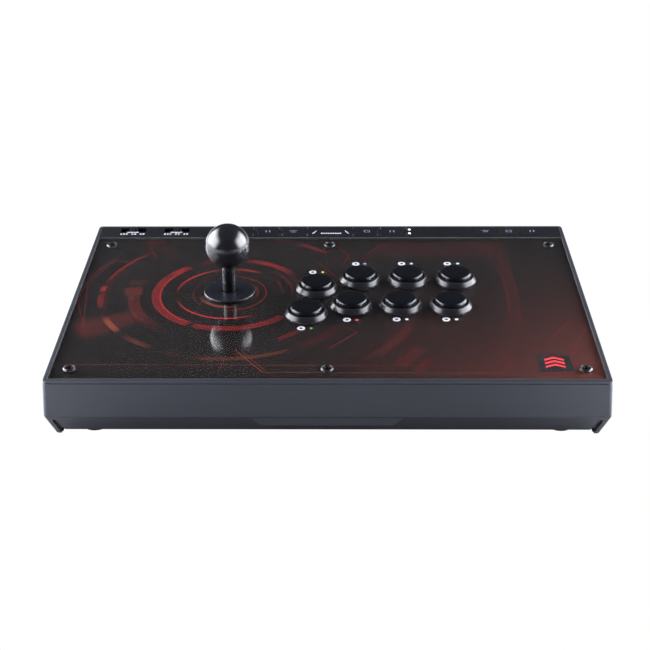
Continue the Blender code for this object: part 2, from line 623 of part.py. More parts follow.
def make_dust_discs(panel):
    """The visible dust washer, and the slotted shutter that slides in the steel plate's well."""
    washer = [(COVER_RADIUS + 0.6, WASHER_W[0]), (WASHER_RADIUS, WASHER_W[0]),
              (WASHER_RADIUS, WASHER_W[1] - 0.4), (WASHER_RADIUS - 0.4, WASHER_W[1]),
              (COVER_RADIUS + 0.6, WASHER_W[1])]
    solid("dust_washer", turned(washer, 28), finish("washer_black", (0.012, 0.012, 0.013), 0.5),
          panel, (*LEVER, 0.0))
    shutter = solid("dust_shutter", discs([(0.0, 0.0)], 14.0, *SHUTTER_W),
                    finish("shutter_black", (0.02, 0.02, 0.02), 0.5), panel, (*LEVER, 0.0))
    slot = solid("shutter_slot", prism(stadium(8.2, 6.7), -8.0, 0.0), None, panel, (*LEVER, 0.0))
    combine(shutter, "DIFFERENCE", slot)


def make_lever_plate(panel):
    """Flat steel plate that hangs the lever under the panel."""
    half_u, half_v = LEVER_PLATE_HALF
    plate = box((LEVER[0] - half_u, LEVER[1] - half_v, LEVER_PLATE_W[0]),
                (LEVER[0] + half_u, LEVER[1] + half_v, LEVER_PLATE_W[1]))
    piece = solid("lever_plate", plate, steel("lever_plate_steel"), panel)
    eye = discs([LEVER], LEVER_HOLE_RADIUS, -9.0, -4.0)
    combine(piece, "DIFFERENCE", solid("lever_plate_eye", eye, None, panel))


# ---------------------------------------------------------------- control strip

def rectangle(u, v, width, height, grow=0.0, slant=0.0):
    """Four corners round a centre; slant leans the upright edges."""
    half_u = width / 2 + grow
    half_v = height / 2 + grow
    return [(u - half_u - slant, v - half_v), (u + half_u - slant, v - half_v),
            (u + half_u + slant, v + half_v), (u - half_u + slant, v + half_v)]


def make_control_strip(panel):
    """Cover strip with its cut-outs."""
    bar = box((-STRIP_HALF_U, STRIP_V[0], STRIP_W[0]), (STRIP_HALF_U, STRIP_V[1], STRIP_W[1]))
    piece = solid("control_strip", bar, slate("strip_slate"), panel)
    cuts = bmesh.new()
    for u in SLIDER_U:
        add_prism(cuts, rectangle(u, SLIDER_V, *SLIDER_SLOT), -5.0, 2.0)
    for u, slant in zip(KEY_U, KEY_SLANT):
        add_prism(cuts, rectangle(u, KEY_V, KEY_WIDTH, KEY_HEIGHT, 0.35, slant), -5.0, 2.0)
    middle = CLUSTER_U[1]
    span = CLUSTER_U[2] - CLUSTER_U[0] + CLUSTER_WIDTH
    add_prism(cuts, rectangle(middle, KEY_V, span, CLUSTER_HEIGHT, 0.35, CLUSTER_SLANT), -5.0, 2.0)
    for v in LIGHT_V:
        add_disc(cuts, (LIGHT_U, v), LIGHT_RADIUS + GAP, -5.0, 2.0, 12)
    combine(piece, "DIFFERENCE", solid("strip_cuts", cuts, None, panel))


def make_key(name, panel, centre, outline, flange, material):
    """A flat key: cap, a wider flange that holds it under the strip, and a stem."""
    piece = solid(name, prism(outline, FLANGE_W[1] - 0.5, KEY_TOP_W), material, panel, (*centre, 0.0))
    skirt = prism(flange, FLANGE_W[0], FLANGE_W[1])
    combine(piece, "UNION", solid(name + "_flange", skirt, None, panel, (*centre, 0.0)))
    stem = discs([(0.0, 0.0)], 1.6, FLANGE_W[0] - 2.1, FLANGE_W[0] + 0.4, 12)
    combine(piece, "UNION", solid(name + "_stem", stem, None, panel, (*centre, 0.0)))


def make_strip_controls(panel):
    """Four flat keys, three leaning keys, two slide knobs and the status light."""
    key_finish = slate("key_slate")
    for index, (u, slant) in enumerate(zip(KEY_U, KEY_SLANT)):
        outline = rectangle(0.0, 0.0, KEY_WIDTH, KEY_HEIGHT, 0.0, slant)
        flange = rectangle(0.0, -0.4, KEY_WIDTH, KEY_HEIGHT, 0.8, slant)
        make_key(f"strip_key_{index + 1}", panel, (u, KEY_V), outline, flange, key_finish)
    for index, u in enumerate(CLUSTER_U):
        outline = rectangle(0.0, 0.0, CLUSTER_WIDTH, CLUSTER_HEIGHT, 0.0, CLUSTER_SLANT)
        flange = rectangle(0.0, -0.3, CLUSTER_WIDTH - 0.6, CLUSTER_HEIGHT - 2.0, 0.0, CLUSTER_SLANT)
        make_key(f"corner_key_{index + 1}", panel, (u, KEY_V), outline, flange, key_finish)
    for index, u in enumerate(SLIDER_U):
        name = f"slide_knob_{index + 1}"
        width, height = SLIDER_KNOB
        knob = prism(rectangle(0.0, 0.0, width, height), -3.8, 0.2)
        piece = solid(name, knob, key_finish, panel, (u, SLIDER_V, 0.0))
        ridge = prism(rectangle(0.0, 0.0, 1.6, height - 0.8), -0.5, 1.8)
        combine(piece, "UNION", solid(name + "_ridge", ridge, None, panel, (u, SLIDER_V, 0.0)))
        carriage = prism(rectangle(0.0, 0.0, 19.0, 8.2), -5.0, -3.3)
        combine(piece, "UNION", solid(name + "_carriage", carriage, None, panel, (u, SLIDER_V, 0.0)))
    dots = discs([(LIGHT_U, v) for v in LIGHT_V], LIGHT_RADIUS, -4.5, 0.1, 12)
    light = solid("status_light", dots, finish("light_guide", (0.9, 0.9, 0.9), 0.3), panel)
    bar = box((LIGHT_U - 2.4, LIGHT_V[1] - 2.4, -5.6), (LIGHT_U + 2.4, LIGHT_V[0] + 2.4, -3.9))
    combine(light, "UNION", solid("light_bar", bar, None, panel))


def make_strip_board(panel):
    """Long circuit board under the strip, with a switch under each key and knob."""
    board = box((-BOARD_HALF_U, BOARD_V[0], BOARD_W[0]), (BOARD_HALF_U, BOARD_V[1], BOARD_W[1]))
    piece = solid("strip_board", board, board_green("strip_board"), panel)
    parts = bmesh.new()
    sunk = BOARD_W[1] - 0.5
    half = KEY_SWITCH_HALF
    for u in KEY_U + CLUSTER_U:
        add_box(parts, (u - half, KEY_V - half, sunk), (u + half, KEY_V + half, KEY_SWITCH_TOP_W))
    half_u, half_v = SLIDE_SWITCH_HALF
    for u in SLIDER_U:
        add_box(parts, (u - half_u, SLIDER_V - half_v, sunk),
                (u + half_u, SLIDER_V + half_v, SLIDE_SWITCH_TOP_W))
    combine(piece, "UNION", solid("strip_switches", parts, None, panel))


# ---------------------------------------------------------------- electronics

def make_electronics():
    """Main board on its posts, and the cable socket that opens through the back wall."""
    board = solid("main_board", box(MAIN_BOARD_LOW, MAIN_BOARD_HIGH), board_green("main_board"))
    chips = bmesh.new()
    for low, high in CHIPS:
        add_box(chips, low, high)
    combine(board, "UNION", solid("board_parts", chips))
    socket = solid("usb_socket", box(SOCKET_LOW, SOCKET_HIGH), steel("socket_shell"))
    width, depth, height = PLUG_CAVITY
    middle_z = (SOCKET_LOW[2] + SOCKET_HIGH[2]) / 2
    mouth = box((SOCKET_X - width / 2, SOCKET_HIGH[1] - depth, middle_z - height / 2),
                (SOCKET_X + width / 2, SOCKET_HIGH[1] + 2.0, middle_z + height / 2))
    combine(socket, "DIFFERENCE", solid("plug_cavity", mouth))


def smooth_route(points, per_span):
    """Points along a Catmull-Rom curve through the route's own points."""
    ends = [points[0]] + points + [points[-1]]
    route = []
    for a, b, c, d in zip(ends, ends[1:], ends[2:], ends[3:]):
        for step in range(per_span):
            t = step / per_span
            route.append([0.5 * (2 * q + (r - p) * t + (2 * p - 5 * q + 4 * r - s) * t * t
                                 + (3 * q - p - 3 * r + s) * t ** 3) for p, q, r, s in zip(a, b, c, d)])
    route.append(points[-1])
    return route


def make_harness(name, points, radius, colour):
    """A bundle of wires as one tube."""
    curve = bpy.data.curves.new(name, "CURVE")
    curve.dimensions = "3D"
    curve.bevel_depth = radius * MM
    curve.bevel_resolution = 2
    curve.use_fill_caps = True
    route = smooth_route(points, 3)
    spline = curve.splines.new("POLY")
    spline.points.add(len(route) - 1)
    for point, place in zip(spline.points, route):
        point.co = (*[c * MM for c in place], 1.0)
    curve.materials.append(finish(name, colour, 0.5))
    harness = bpy.data.objects.new(name, curve)
    bpy.context.collection.objects.link(harness)


def make_harnesses():
    """Button wires run under both rows; lever wires run along the back of the lever."""
    make_harness("button_harness", BUTTON_HARNESS, HARNESS_RADIUS, (0.02, 0.02, 0.02))
    make_harness("lever_harness", LEVER_HARNESS, HARNESS_RADIUS, (0.05, 0.05, 0.05))


clear_scene()
panel_frame = frame_empty("panel_frame", (0.0, FRONT_TOP_Y, FRONT_TOP_Z), tilt=SLOPE)
make_top_housing(panel_frame)
make_bottom_housing()
make_feet()
make_panel_layers(panel_frame)
make_panel_screws(panel_frame)
make_buttons(panel_frame)
make_lever_plate(panel_frame)
make_lever(panel_frame)
make_dust_discs(panel_frame)
make_control_strip(panel_frame)
make_strip_controls(panel_frame)
make_strip_board(panel_frame)
make_electronics()
make_harnesses()
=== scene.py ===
import json
from math import asin, atan2, cos, degrees, pi, radians, sin

import bmesh
import bpy
from mathutils import Matrix, Vector


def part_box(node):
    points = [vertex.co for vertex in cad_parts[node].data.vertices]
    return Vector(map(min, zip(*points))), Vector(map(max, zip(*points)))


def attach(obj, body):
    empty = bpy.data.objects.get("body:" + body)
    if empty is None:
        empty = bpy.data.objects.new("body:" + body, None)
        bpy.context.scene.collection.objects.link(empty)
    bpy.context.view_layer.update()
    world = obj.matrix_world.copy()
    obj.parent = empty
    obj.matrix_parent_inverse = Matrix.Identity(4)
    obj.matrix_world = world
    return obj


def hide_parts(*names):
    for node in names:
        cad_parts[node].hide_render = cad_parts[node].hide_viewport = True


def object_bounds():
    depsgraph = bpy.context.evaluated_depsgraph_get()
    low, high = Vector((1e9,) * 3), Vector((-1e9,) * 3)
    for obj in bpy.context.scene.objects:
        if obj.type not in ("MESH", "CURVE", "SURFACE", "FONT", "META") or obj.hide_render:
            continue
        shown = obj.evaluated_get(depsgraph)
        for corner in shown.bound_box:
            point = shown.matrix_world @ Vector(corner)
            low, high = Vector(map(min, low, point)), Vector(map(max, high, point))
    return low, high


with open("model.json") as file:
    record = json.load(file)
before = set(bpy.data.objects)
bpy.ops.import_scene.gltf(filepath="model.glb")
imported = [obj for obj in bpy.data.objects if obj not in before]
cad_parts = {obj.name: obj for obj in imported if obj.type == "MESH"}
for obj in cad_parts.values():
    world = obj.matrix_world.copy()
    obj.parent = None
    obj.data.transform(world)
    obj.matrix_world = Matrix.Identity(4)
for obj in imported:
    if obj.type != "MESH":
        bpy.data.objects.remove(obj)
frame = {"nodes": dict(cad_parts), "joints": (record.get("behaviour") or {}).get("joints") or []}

MM = 0.001
cad_low, cad_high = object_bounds()

# ---------------------------------------------------------------- the sloped top's own frame
# The top panel leans back by a few degrees. Everything that sits on it is placed in
# its own frame: u across, v up the slope from the front top edge, w out of the panel.
lever_joint = next(j for j in frame["joints"] if j["name"] == "tilt_left_right")
ACROSS = Vector((1.0, 0.0, 0.0))
UPHILL = Vector(lever_joint["axis"]).normalized()
OUTWARD = ACROSS.cross(UPHILL)
SLOPE = asin(UPHILL.z)


def corners(node):
    """Every vertex of a CAD node."""
    return [vertex.co for vertex in frame["nodes"][node].data.vertices]


cover_top = max(OUTWARD.dot(point) for point in corners("panel_cover"))
case_rim = [point for point in corners("top_housing") if OUTWARD.dot(point) > cover_top - 0.1 * MM]
front_edge = min(UPHILL.dot(point) for point in case_rim)
PANEL = (Matrix.Translation(UPHILL * front_edge + OUTWARD * cover_top)
         @ Matrix((ACROSS, UPHILL, OUTWARD)).transposed().to_4x4())
PANEL_MM = PANEL @ Matrix.Scale(MM, 4)


def panel_box(node):
    """A CAD node's lowest and highest corner in the panel frame, in millimetres."""
    points = [PANEL_MM.inverted() @ point for point in corners(node)]
    low = Vector(min(point[i] for point in points) for i in range(3))
    high = Vector(max(point[i] for point in points) for i in range(3))
    return low, high


def turned_size(node):
    """A round CAD node's radius, bottom and top in the panel frame, in millimetres."""
    low, high = panel_box(node)
    return (high.x - low.x) / 2, low.z, high.z


def numbered(name, count):
    """Names of a numbered row of nodes."""
    return [f"{name}_{index}" for index in range(1, count + 1)]


def panel_centre(node):
    """A CAD node's middle in the panel frame, in millimetres, on the panel's top."""
    low, high = panel_box(node)
    return Vector(((low.x + high.x) / 2, (low.y + high.y) / 2, 0.0))


# ---------------------------------------------------------------- studio
# A product table: a white floor and backdrop, a tall soft light on each side with a
# gap between them that leaves a dark band down every round black piece.
CAMERA_PLACE = Vector((11.88, -818.91, 494.96))
CAMERA_PITCH = 0.501676
CAMERA_YAW = -0.0156416
CAMERA_ROLL = -0.0072768
CAMERA_LENS = 75.363
SOFTBOX_CORE = 1.7                # how sharply a panel's glow falls off at its frame
SOFTBOX_COLOUR = (0.93, 0.95, 1.0, 1)
DIM_HALF_WIDTH = 0.10             # the floor is dim up to this far from the middle, in metres
PALE_HALF_WIDTH = 0.38            # and at its palest from here out


def add(tree, kind, feeds=None, **settings):
    """Adds a node; feeds gives its inputs a value each, or another node's output."""
    made = tree.nodes.new(kind)
    for key, value in settings.items():
        setattr(made, key, value)
    for key, value in (feeds or {}).items():
        if isinstance(value, bpy.types.NodeSocket):
            tree.links.new(value, made.inputs[key])
        else:
            made.inputs[key].default_value = value
    return made


def maths(tree, operation, *values, clamp=False):
    """A Math node's output."""
    feeds = dict(enumerate(values))
    return add(tree, "ShaderNodeMath", feeds, operation=operation, use_clamp=clamp).outputs[0]


def object_place(tree):
    """Object coordinates."""
    return add(tree, "ShaderNodeTexCoord").outputs["Object"]


def blend(tree, share, low, high):
    """One colour shading into another."""
    return add(tree, "ShaderNodeMix", {0: share, 6: low, 7: high}, data_type="RGBA").outputs[2]


def noise(tree, place, scale, detail):
    """How strong a cloudy pattern is."""
    return add(tree, "ShaderNodeTexNoise", {"Vector": place, "Scale": scale, "Detail": detail}).outputs["Fac"]


def blank_material(name):
    """A material with only its output node."""
    material = bpy.data.materials.new(name)
    material.use_nodes = True
    tree = material.node_tree
    tree.nodes.clear()
    return material, tree, tree.nodes.new("ShaderNodeOutputMaterial").inputs["Surface"]


def make_camera():
    """The camera, set out in the panel's frame."""
    level = Vector((sin(CAMERA_YAW), cos(CAMERA_YAW), 0.0))
    ahead = cos(CAMERA_PITCH) * level - sin(CAMERA_PITCH) * Vector((0.0, 0.0, 1.0))
    right = Vector((cos(CAMERA_YAW), -sin(CAMERA_YAW), 0.0))
    up = right.cross(ahead)
    side = cos(CAMERA_ROLL) * right + sin(CAMERA_ROLL) * up
    top = cos(CAMERA_ROLL) * up - sin(CAMERA_ROLL) * right
    data = bpy.data.cameras.new("camera")
    data.lens = CAMERA_LENS
    data.sensor_width = 36.0
    camera = bpy.data.objects.new("camera", data)
    bpy.context.scene.collection.objects.link(camera)
    turn = PANEL.to_3x3() @ Matrix((side, top, -ahead)).transposed()
    camera.matrix_world = Matrix.Translation(PANEL_MM @ CAMERA_PLACE) @ turn.to_4x4()
    bpy.context.scene.camera = camera


def studio_sheet(name, material, size, place):
    """A flat sheet of studio kit, lying level."""
    bm = bmesh.new()
    bmesh.ops.create_grid(bm, x_segments=1, y_segments=1, size=0.5)
    bmesh.ops.scale(bm, vec=(*size, 1.0), verts=bm.verts)
    mesh = bpy.data.meshes.new(name)
    bm.to_mesh(mesh)
    bm.free()
    mesh.materials.append(material)
    sheet = bpy.data.objects.new(name, mesh)
    sheet.location = place
    bpy.context.scene.collection.objects.link(sheet)
    return sheet


def make_softbox(name, place, aim, size, strength):
    """A glowing cloth panel turned towards a point, fading out towards its frame."""
    material, tree, surface = blank_material(name)
    parts = add(tree, "ShaderNodeSeparateXYZ", {0: object_place(tree)}).outputs
    glow = strength
    for part, length in zip(parts, size):
        off = maths(tree, "MULTIPLY", maths(tree, "ABSOLUTE", part), 2.0 / length)
        inner = maths(tree, "MULTIPLY", maths(tree, "SUBTRACT", 1.0, off), SOFTBOX_CORE, clamp=True)
        glow = maths(tree, "MULTIPLY", maths(tree, "SMOOTH_MAX", inner, 0.0, 0.1), glow)
    light = add(tree, "ShaderNodeEmission", {"Color": SOFTBOX_COLOUR, "Strength": glow})
    tree.links.new(light.outputs[0], surface)
    panel = studio_sheet(name, material, size, place)
    panel.rotation_euler = (Vector(aim) - Vector(place)).to_track_quat("-Z", "Y").to_euler()
    panel.visible_camera = False


def make_floor():
    """White to the camera; to everything else dim in the middle and paler towards both lights."""
    material, tree, surface = blank_material("studio_floor")
    seen = add(tree, "ShaderNodeLightPath").outputs["Is Camera Ray"]
    white = add(tree, "ShaderNodeEmission", {"Color": (1, 1, 1, 1), "Strength": 1.0})
    aside = maths(tree, "ABSOLUTE", add(tree, "ShaderNodeSeparateXYZ", {0: object_place(tree)}).outputs[0])
    share = add(tree, "ShaderNodeMapRange", {0: aside, 1: DIM_HALF_WIDTH, 2: PALE_HALF_WIDTH},
                interpolation_type="SMOOTHSTEP")
    shade = blend(tree, share.outputs[0], (0.20, 0.20, 0.21, 1), (0.80, 0.80, 0.84, 1))
    paper = add(tree, "ShaderNodeBsdfDiffuse", {"Color": shade})
    mixed = add(tree, "ShaderNodeMixShader", {0: seen, 1: paper.outputs[0], 2: white.outputs[0]})
    tree.links.new(mixed.outputs[0], surface)
    studio_sheet("studio_floor", material, (8.0, 8.0), (0.0, 0.0, cad_low.z - 0.2 * MM))


def make_backdrop():
    """White behind the object, and a faint cool fill from every side."""
    world = bpy.data.worlds.new("studio")
    world.use_nodes = True
    bpy.context.scene.world = world
    tree = world.node_tree
    tree.nodes.clear()
    seen = add(tree, "ShaderNodeLightPath").outputs["Is Camera Ray"]
    white = add(tree, "ShaderNodeBackground", {"Color": (1, 1, 1, 1), "Strength": 1.0})
    dim = add(tree, "ShaderNodeBackground", {"Color": (0.80, 0.82, 0.90, 1), "Strength": 0.06})
    mixed = add(tree, "ShaderNodeMixShader", {0: seen, 1: dim.outputs[0], 2: white.outputs[0]})
    tree.links.new(mixed.outputs[0], tree.nodes.new("ShaderNodeOutputWorld").inputs["Surface"])


make_camera()
make_floor()
make_backdrop()
make_softbox("softbox_left", (-0.95, 0.10, 0.45), (-0.05, 0.0, 0.05), (2.0, 1.15), 19.5)
make_softbox("softbox_right", (0.92, 0.08, 0.43), (0.05, 0.0, 0.05), (1.8, 1.15), 19.0)
bpy.context.scene.view_settings.view_transform = "Standard"

# ---------------------------------------------------------------- top housing
# The upper shell: one injection moulding in slate-grey ABS with a fine matt grain,
# draughted walls and a shallow well that the panel drops into. Screwed on from below.
HOUSING_EDGE = 0.45
HOUSING_COLOUR = (0.031, 0.034, 0.043)
RIM_SHADE_COLOUR = (0.012, 0.013, 0.017)      # painted shade: the flat rim round the top, darker where it faces up
GROOVE_DEPTH = 0.5
GROOVE_HEIGHT = 0.55
GROOVE_DROP = 1.3
HOOP_REACH = 4.0                  # how far the groove's cutter stands out of the walls
CASE_CORNER = 3.0


def effect(name, inputs, outputs):
    """An empty effect group; returns the tree, its inputs' outputs and its outputs' inputs."""
    tree = bpy.data.node_groups.new(name, "ShaderNodeTree")
    for label, (kind, value) in inputs.items():
        socket = tree.interface.new_socket(label, in_out="INPUT", socket_type="NodeSocket" + kind)
        if value is not None:
            socket.default_value = value
    for label, kind in outputs.items():
        tree.interface.new_socket(label, in_out="OUTPUT", socket_type="NodeSocket" + kind)
    return tree, tree.nodes.new("NodeGroupInput").outputs, tree.nodes.new("NodeGroupOutput").inputs


def use(tree, group, feeds):
    """Places an effect group in a material."""
    return add(tree, "ShaderNodeGroup", feeds, node_tree=group).outputs


def make_moulded_grain():
    """Spark-eroded mould texture: a fine pebble, with faint flow marks in tone and gloss."""
    tree, given, made = effect(
        "moulded_grain",
        {"Place": ("Vector", None), "Colour": ("Color", (0.05, 0.05, 0.05, 1)), "Pebbles": ("Float", 1600.0),
         "Mottle": ("Float", 0.18), "Roughness": ("Float", 0.4), "Sparkle": ("Float", 0.14)},
        {"Colour": "Color", "Roughness": "Float", "Height": "Float"})
    pebble = noise(tree, given["Place"], given["Pebbles"], 3.0)
    spread = maths(tree, "SUBTRACT", noise(tree, given["Place"], 26.0, 4.0), 0.5)
    gain = maths(tree, "MULTIPLY_ADD", spread, given["Mottle"], 1.0)
    toned = add(tree, "ShaderNodeVectorMath", {0: given["Colour"]}, operation="SCALE")
    tree.links.new(gain, toned.inputs["Scale"])
    tree.links.new(toned.outputs[0], made["Colour"])
    grit = maths(tree, "SUBTRACT", pebble, 0.5)
    glossy = maths(tree, "MULTIPLY_ADD", grit, given["Sparkle"], given["Roughness"])
    smeared = maths(tree, "MULTIPLY_ADD", spread, given["Sparkle"], glossy, clamp=True)
    tree.links.new(smeared, made["Roughness"])
    tree.links.new(pebble, made["Height"])
    return tree


def make_worn_and_highlit_edge():
    """How near a surface point is to an outside edge, broken up where handling wears it; used to lighten edges
    as wear and as a painted highlight.
    """
    tree, given, made = effect("worn_and_highlit_edge", {"Place": ("Vector", None), "Radius": ("Float", 0.0005)},
                               {"Mask": "Float"})
    rounded = add(tree, "ShaderNodeBevel", {"Radius": given["Radius"]}, samples=4)
    plain = add(tree, "ShaderNodeNewGeometry")
    turn = add(tree, "ShaderNodeVectorMath", {0: rounded.outputs[0], 1: plain.outputs["Normal"]},
               operation="DOT_PRODUCT").outputs["Value"]
    patch = noise(tree, given["Place"], 90.0, 5.0)
    edge = maths(tree, "MULTIPLY", maths(tree, "SUBTRACT", 1.0, turn), 7.0, clamp=True)
    tree.links.new(maths(tree, "MULTIPLY", edge, patch), made["Mask"])
    return tree


moulded_grain = make_moulded_grain()
worn_and_highlit_edge = make_worn_and_highlit_edge()


def finish_surface(tree, surface, height, strength, distance, feeds):
    """Ends a material in one bumped surface shader."""
    bump = add(tree, "ShaderNodeBump", {"Strength": strength, "Distance": distance, "Height": height})
    shader = add(tree, "ShaderNodeBsdfPrincipled", {**feeds, "Normal": bump.outputs[0]})
    tree.links.new(shader.outputs[0], surface)


def moulded_plastic(name, colour, roughness, pebbles=1600.0, depth=0.12, wear_and_highlight=0.0, shine=0.5, mottle=0.18):
    """A moulded part's material: grained plastic, painted paler along its edges as wear and as a painted
    highlight.
    """
    material, tree, surface = blank_material(name)
    place = object_place(tree)
    grain = use(tree, moulded_grain, {"Place": place, "Colour": (*colour, 1), "Pebbles": pebbles,
                                      "Mottle": mottle, "Roughness": roughness})
    # painted highlight and wear: edges are lightened toward a paler copy of the colour
    rubbed_and_highlit = [min(1.0, value * 2.6 + 0.02) for value in colour]
    edge = use(tree, worn_and_highlit_edge, {"Place": place})
    share = maths(tree, "MULTIPLY", edge["Mask"], wear_and_highlight)
    finish_surface(tree, surface, grain["Height"], depth, 0.0002, {
        "Base Color": blend(tree, share, grain["Colour"], (*rubbed_and_highlit, 1)), "Roughness": grain["Roughness"],
        "Specular IOR Level": shine})
    return material


def link_mesh(name, mesh, material):
    """A linked object for a mesh already in its place."""
    mesh.materials.clear()
    mesh.materials.append(material)
    obj = bpy.data.objects.new(name, mesh)
    bpy.context.scene.collection.objects.link(obj)
    return obj


def finish_mesh(name, bm, material, place=None, smooth=35.0):
    """A bmesh made an object, with its place in its mesh and soft shading up to an angle."""
    if place is not None:
        bmesh.ops.transform(bm, matrix=place, verts=bm.verts)
    bmesh.ops.recalc_face_normals(bm, faces=bm.faces)
    mesh = bpy.data.meshes.new(name)
    bm.to_mesh(mesh)
    bm.free()
    obj = link_mesh(name, mesh, material)
    mesh.shade_smooth()
    mesh.set_sharp_from_angle(angle=radians(smooth))
    return obj


def settle(obj):
    """Applies an object's modifiers."""
    graph = bpy.context.evaluated_depsgraph_get()
    mesh = bpy.data.meshes.new_from_object(obj.evaluated_get(graph))
    obj.modifiers.clear()
    obj.data = mesh
    return obj


def softened(node, name, material, width, segments=3, cutters=()):
    """A merged copy of a CAD node with its sharp edges broken, as a mould leaves them."""
    bm = bmesh.new()
    bm.from_mesh(frame["nodes"][node].data)
    bmesh.ops.remove_doubles(bm, verts=bm.verts, dist=0.002 * MM)
    bmesh.ops.dissolve_limit(bm, angle_limit=radians(0.6), verts=bm.verts, edges=bm.edges)
    mesh = bpy.data.meshes.new(name)
    bm.to_mesh(mesh)
    bm.free()
    obj = link_mesh(name, mesh, material)
    for cutter in cutters:
        cut = obj.modifiers.new("cut", "BOOLEAN")
        cut.operation = "DIFFERENCE"
        cut.object = cutter
    edge = obj.modifiers.new("edge", "BEVEL")
    edge.width = width * MM
    edge.segments = segments
    edge.limit_method = "ANGLE"
    edge.angle_limit = radians(32.0)
    edge.use_clamp_overlap = True
    shading = obj.modifiers.new("shading", "WEIGHTED_NORMAL")
    shading.weight = 100
    mesh.shade_smooth()
    settle(obj)
    for cutter in cutters:
        bpy.data.objects.remove(cutter)
    return obj


def fit(obj, body, slot, *nodes):
    """The piece rides a body and stands for these nodes, which are hidden; slot is not used."""
    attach(obj, body)
    if nodes:
        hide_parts(*nodes)
    return obj


def dress(material, *nodes):
    """Gives CAD nodes whose shape is already right their finish."""
    for node in nodes:
        mesh = frame["nodes"][node].data
        mesh.materials.clear()
        mesh.materials.append(material)


housing_plastic = moulded_plastic("slate_housing", HOUSING_COLOUR, 0.36, depth=0.16, wear_and_highlight=0.5)


def join_loops(bm, loops):
    """Quads from each loop of vertices to the next, and from the last to the first."""
    for first, second in zip(loops, loops[1:] + loops[:1]):
        for step in range(len(first)):
            following = (step + 1) % len(first)
            bm.faces.new((first[step], first[following], second[following], second[step]))


def rounded_outline(low, high, radius, steps=6):
    """A rectangle's outline with an arc at each corner."""
    points = []
    turning_points = ((high[0], low[1]), (high[0], high[1]), (low[0], high[1]), (low[0], low[1]))
    for quarter, (x, y) in enumerate(turning_points):
        x += radius if x == low[0] else -radius
        y += radius if y == low[1] else -radius
        for step in range(steps + 1):
            angle = (quarter - 1 + step / steps) * pi / 2
            points.append((x + radius * cos(angle), y + radius * sin(angle)))
    return points


def make_groove_hoop():
    """A square-section hoop that scores a thin line round the walls just under the rim."""
    places = [PANEL_MM.inverted() @ point for point in corners("top_housing")]
    rim = [place for place in places if abs(place.z) < 0.05]
    low = (min(place.x for place in rim), min(place.y for place in rim))
    high = (max(place.x for place in rim), max(place.y for place in rim))
    bm = bmesh.new()
    loops = []
    groove_floor = -GROOVE_DROP - GROOVE_HEIGHT
    for inset, w in ((GROOVE_DEPTH, -GROOVE_DROP), (-HOOP_REACH, -GROOVE_DROP), (-HOOP_REACH, groove_floor),
                     (GROOVE_DEPTH, groove_floor)):
        outline = rounded_outline([side + inset for side in low], [side - inset for side in high],
                                  CASE_CORNER - inset)
        loops.append([bm.verts.new((u, v, w)) for u, v in outline])
    join_loops(bm, loops)
    return finish_mesh("groove_hoop", bm, housing_plastic, PANEL_MM)


top_shell = softened("top_housing", "top_shell", housing_plastic, HOUSING_EDGE, cutters=[make_groove_hoop()])
# painted shade: the up-facing faces of the flat rim take a darker copy of the housing material
top_shell.data.materials.append(moulded_plastic("rim_top", RIM_SHADE_COLOUR, 0.36, depth=0.16, wear_and_highlight=0.5))
for face in top_shell.data.polygons:
    if face.normal.dot(OUTWARD) > 0.97 and (PANEL_MM.inverted() @ face.center).z > -0.6:
        face.material_index = 1
fit(top_shell, "root", "housing", "top_housing")

# ---------------------------------------------------------------- bottom housing
# The tray that carries everything: the same slate ABS, tucked in under the top shell,
# with a tongue at the front, a wing down each side and a channel inside each corner.
tray_plastic = moulded_plastic("slate_tray", (0.030, 0.032, 0.041), 0.38, depth=0.16, wear_and_highlight=0.6)
tray = softened("bottom_housing", "tray", tray_plastic, 0.4)
fit(tray, "root", "lower_housing", "bottom_housing")

# ---------------------------------------------------------------- feet and case screws
# Four soft rubber feet pressed into the tray, and the cross-head screws round the
# underside that pull the two shells together.
FOOT_RINGS = 3
CASE_SCREW_RADIUS = 3.2


def turned(profile, sides=72, shape=None):
    """A closed solid turned from an (r, z) outline in millimetres that starts and ends on the axis."""
    bm = bmesh.new()
    loops = []
    for radius, height in profile:
        if radius == 0.0:
            loops.append([bm.verts.new((0.0, 0.0, height))])
            continue
        loop = []
        for step in range(sides):
            angle = 2 * pi * step / sides
            far = radius if shape is None else radius * shape(angle, radius)
            loop.append(bm.verts.new((far * cos(angle), far * sin(angle), height)))
        loops.append(loop)
    for first, second in zip(loops, loops[1:]):
        for step in range(sides):
            following = (step + 1) % sides
            if len(first) == 1:
                bm.faces.new((first[0], second[step], second[following]))
            elif len(second) == 1:
                bm.faces.new((first[step], first[following], second[0]))
            else:
                bm.faces.new((first[step], first[following], second[following], second[step]))
    return bm


def tube(outline, sides=96):
    """A turned ring: the outline closes on itself."""
    bm = bmesh.new()
    loops = [[bm.verts.new((radius * cos(2 * pi * step / sides), radius * sin(2 * pi * step / sides), height))
              for step in range(sides)] for radius, height in outline]
    join_loops(bm, loops)
    return bm


def filleted(outline, steps=4):
    """Rounds an outline's corners; each point is (r, z) or (r, z, fillet)."""
    points = []
    for index, point in enumerate(outline):
        here = Vector(point[:2])
        if len(point) == 2 or index in (0, len(outline) - 1):
            points.append(tuple(here))
            continue
        before = Vector(outline[index - 1][:2]) - here
        after = Vector(outline[index + 1][:2]) - here
        reach = min(point[2], before.length * 0.48, after.length * 0.48)
        start, end = here + before.normalized() * reach, here + after.normalized() * reach
        for step in range(steps + 1):
            share = step / steps
            points.append(tuple((1 - share) ** 2 * start + 2 * share * (1 - share) * here + share ** 2 * end))
    return points


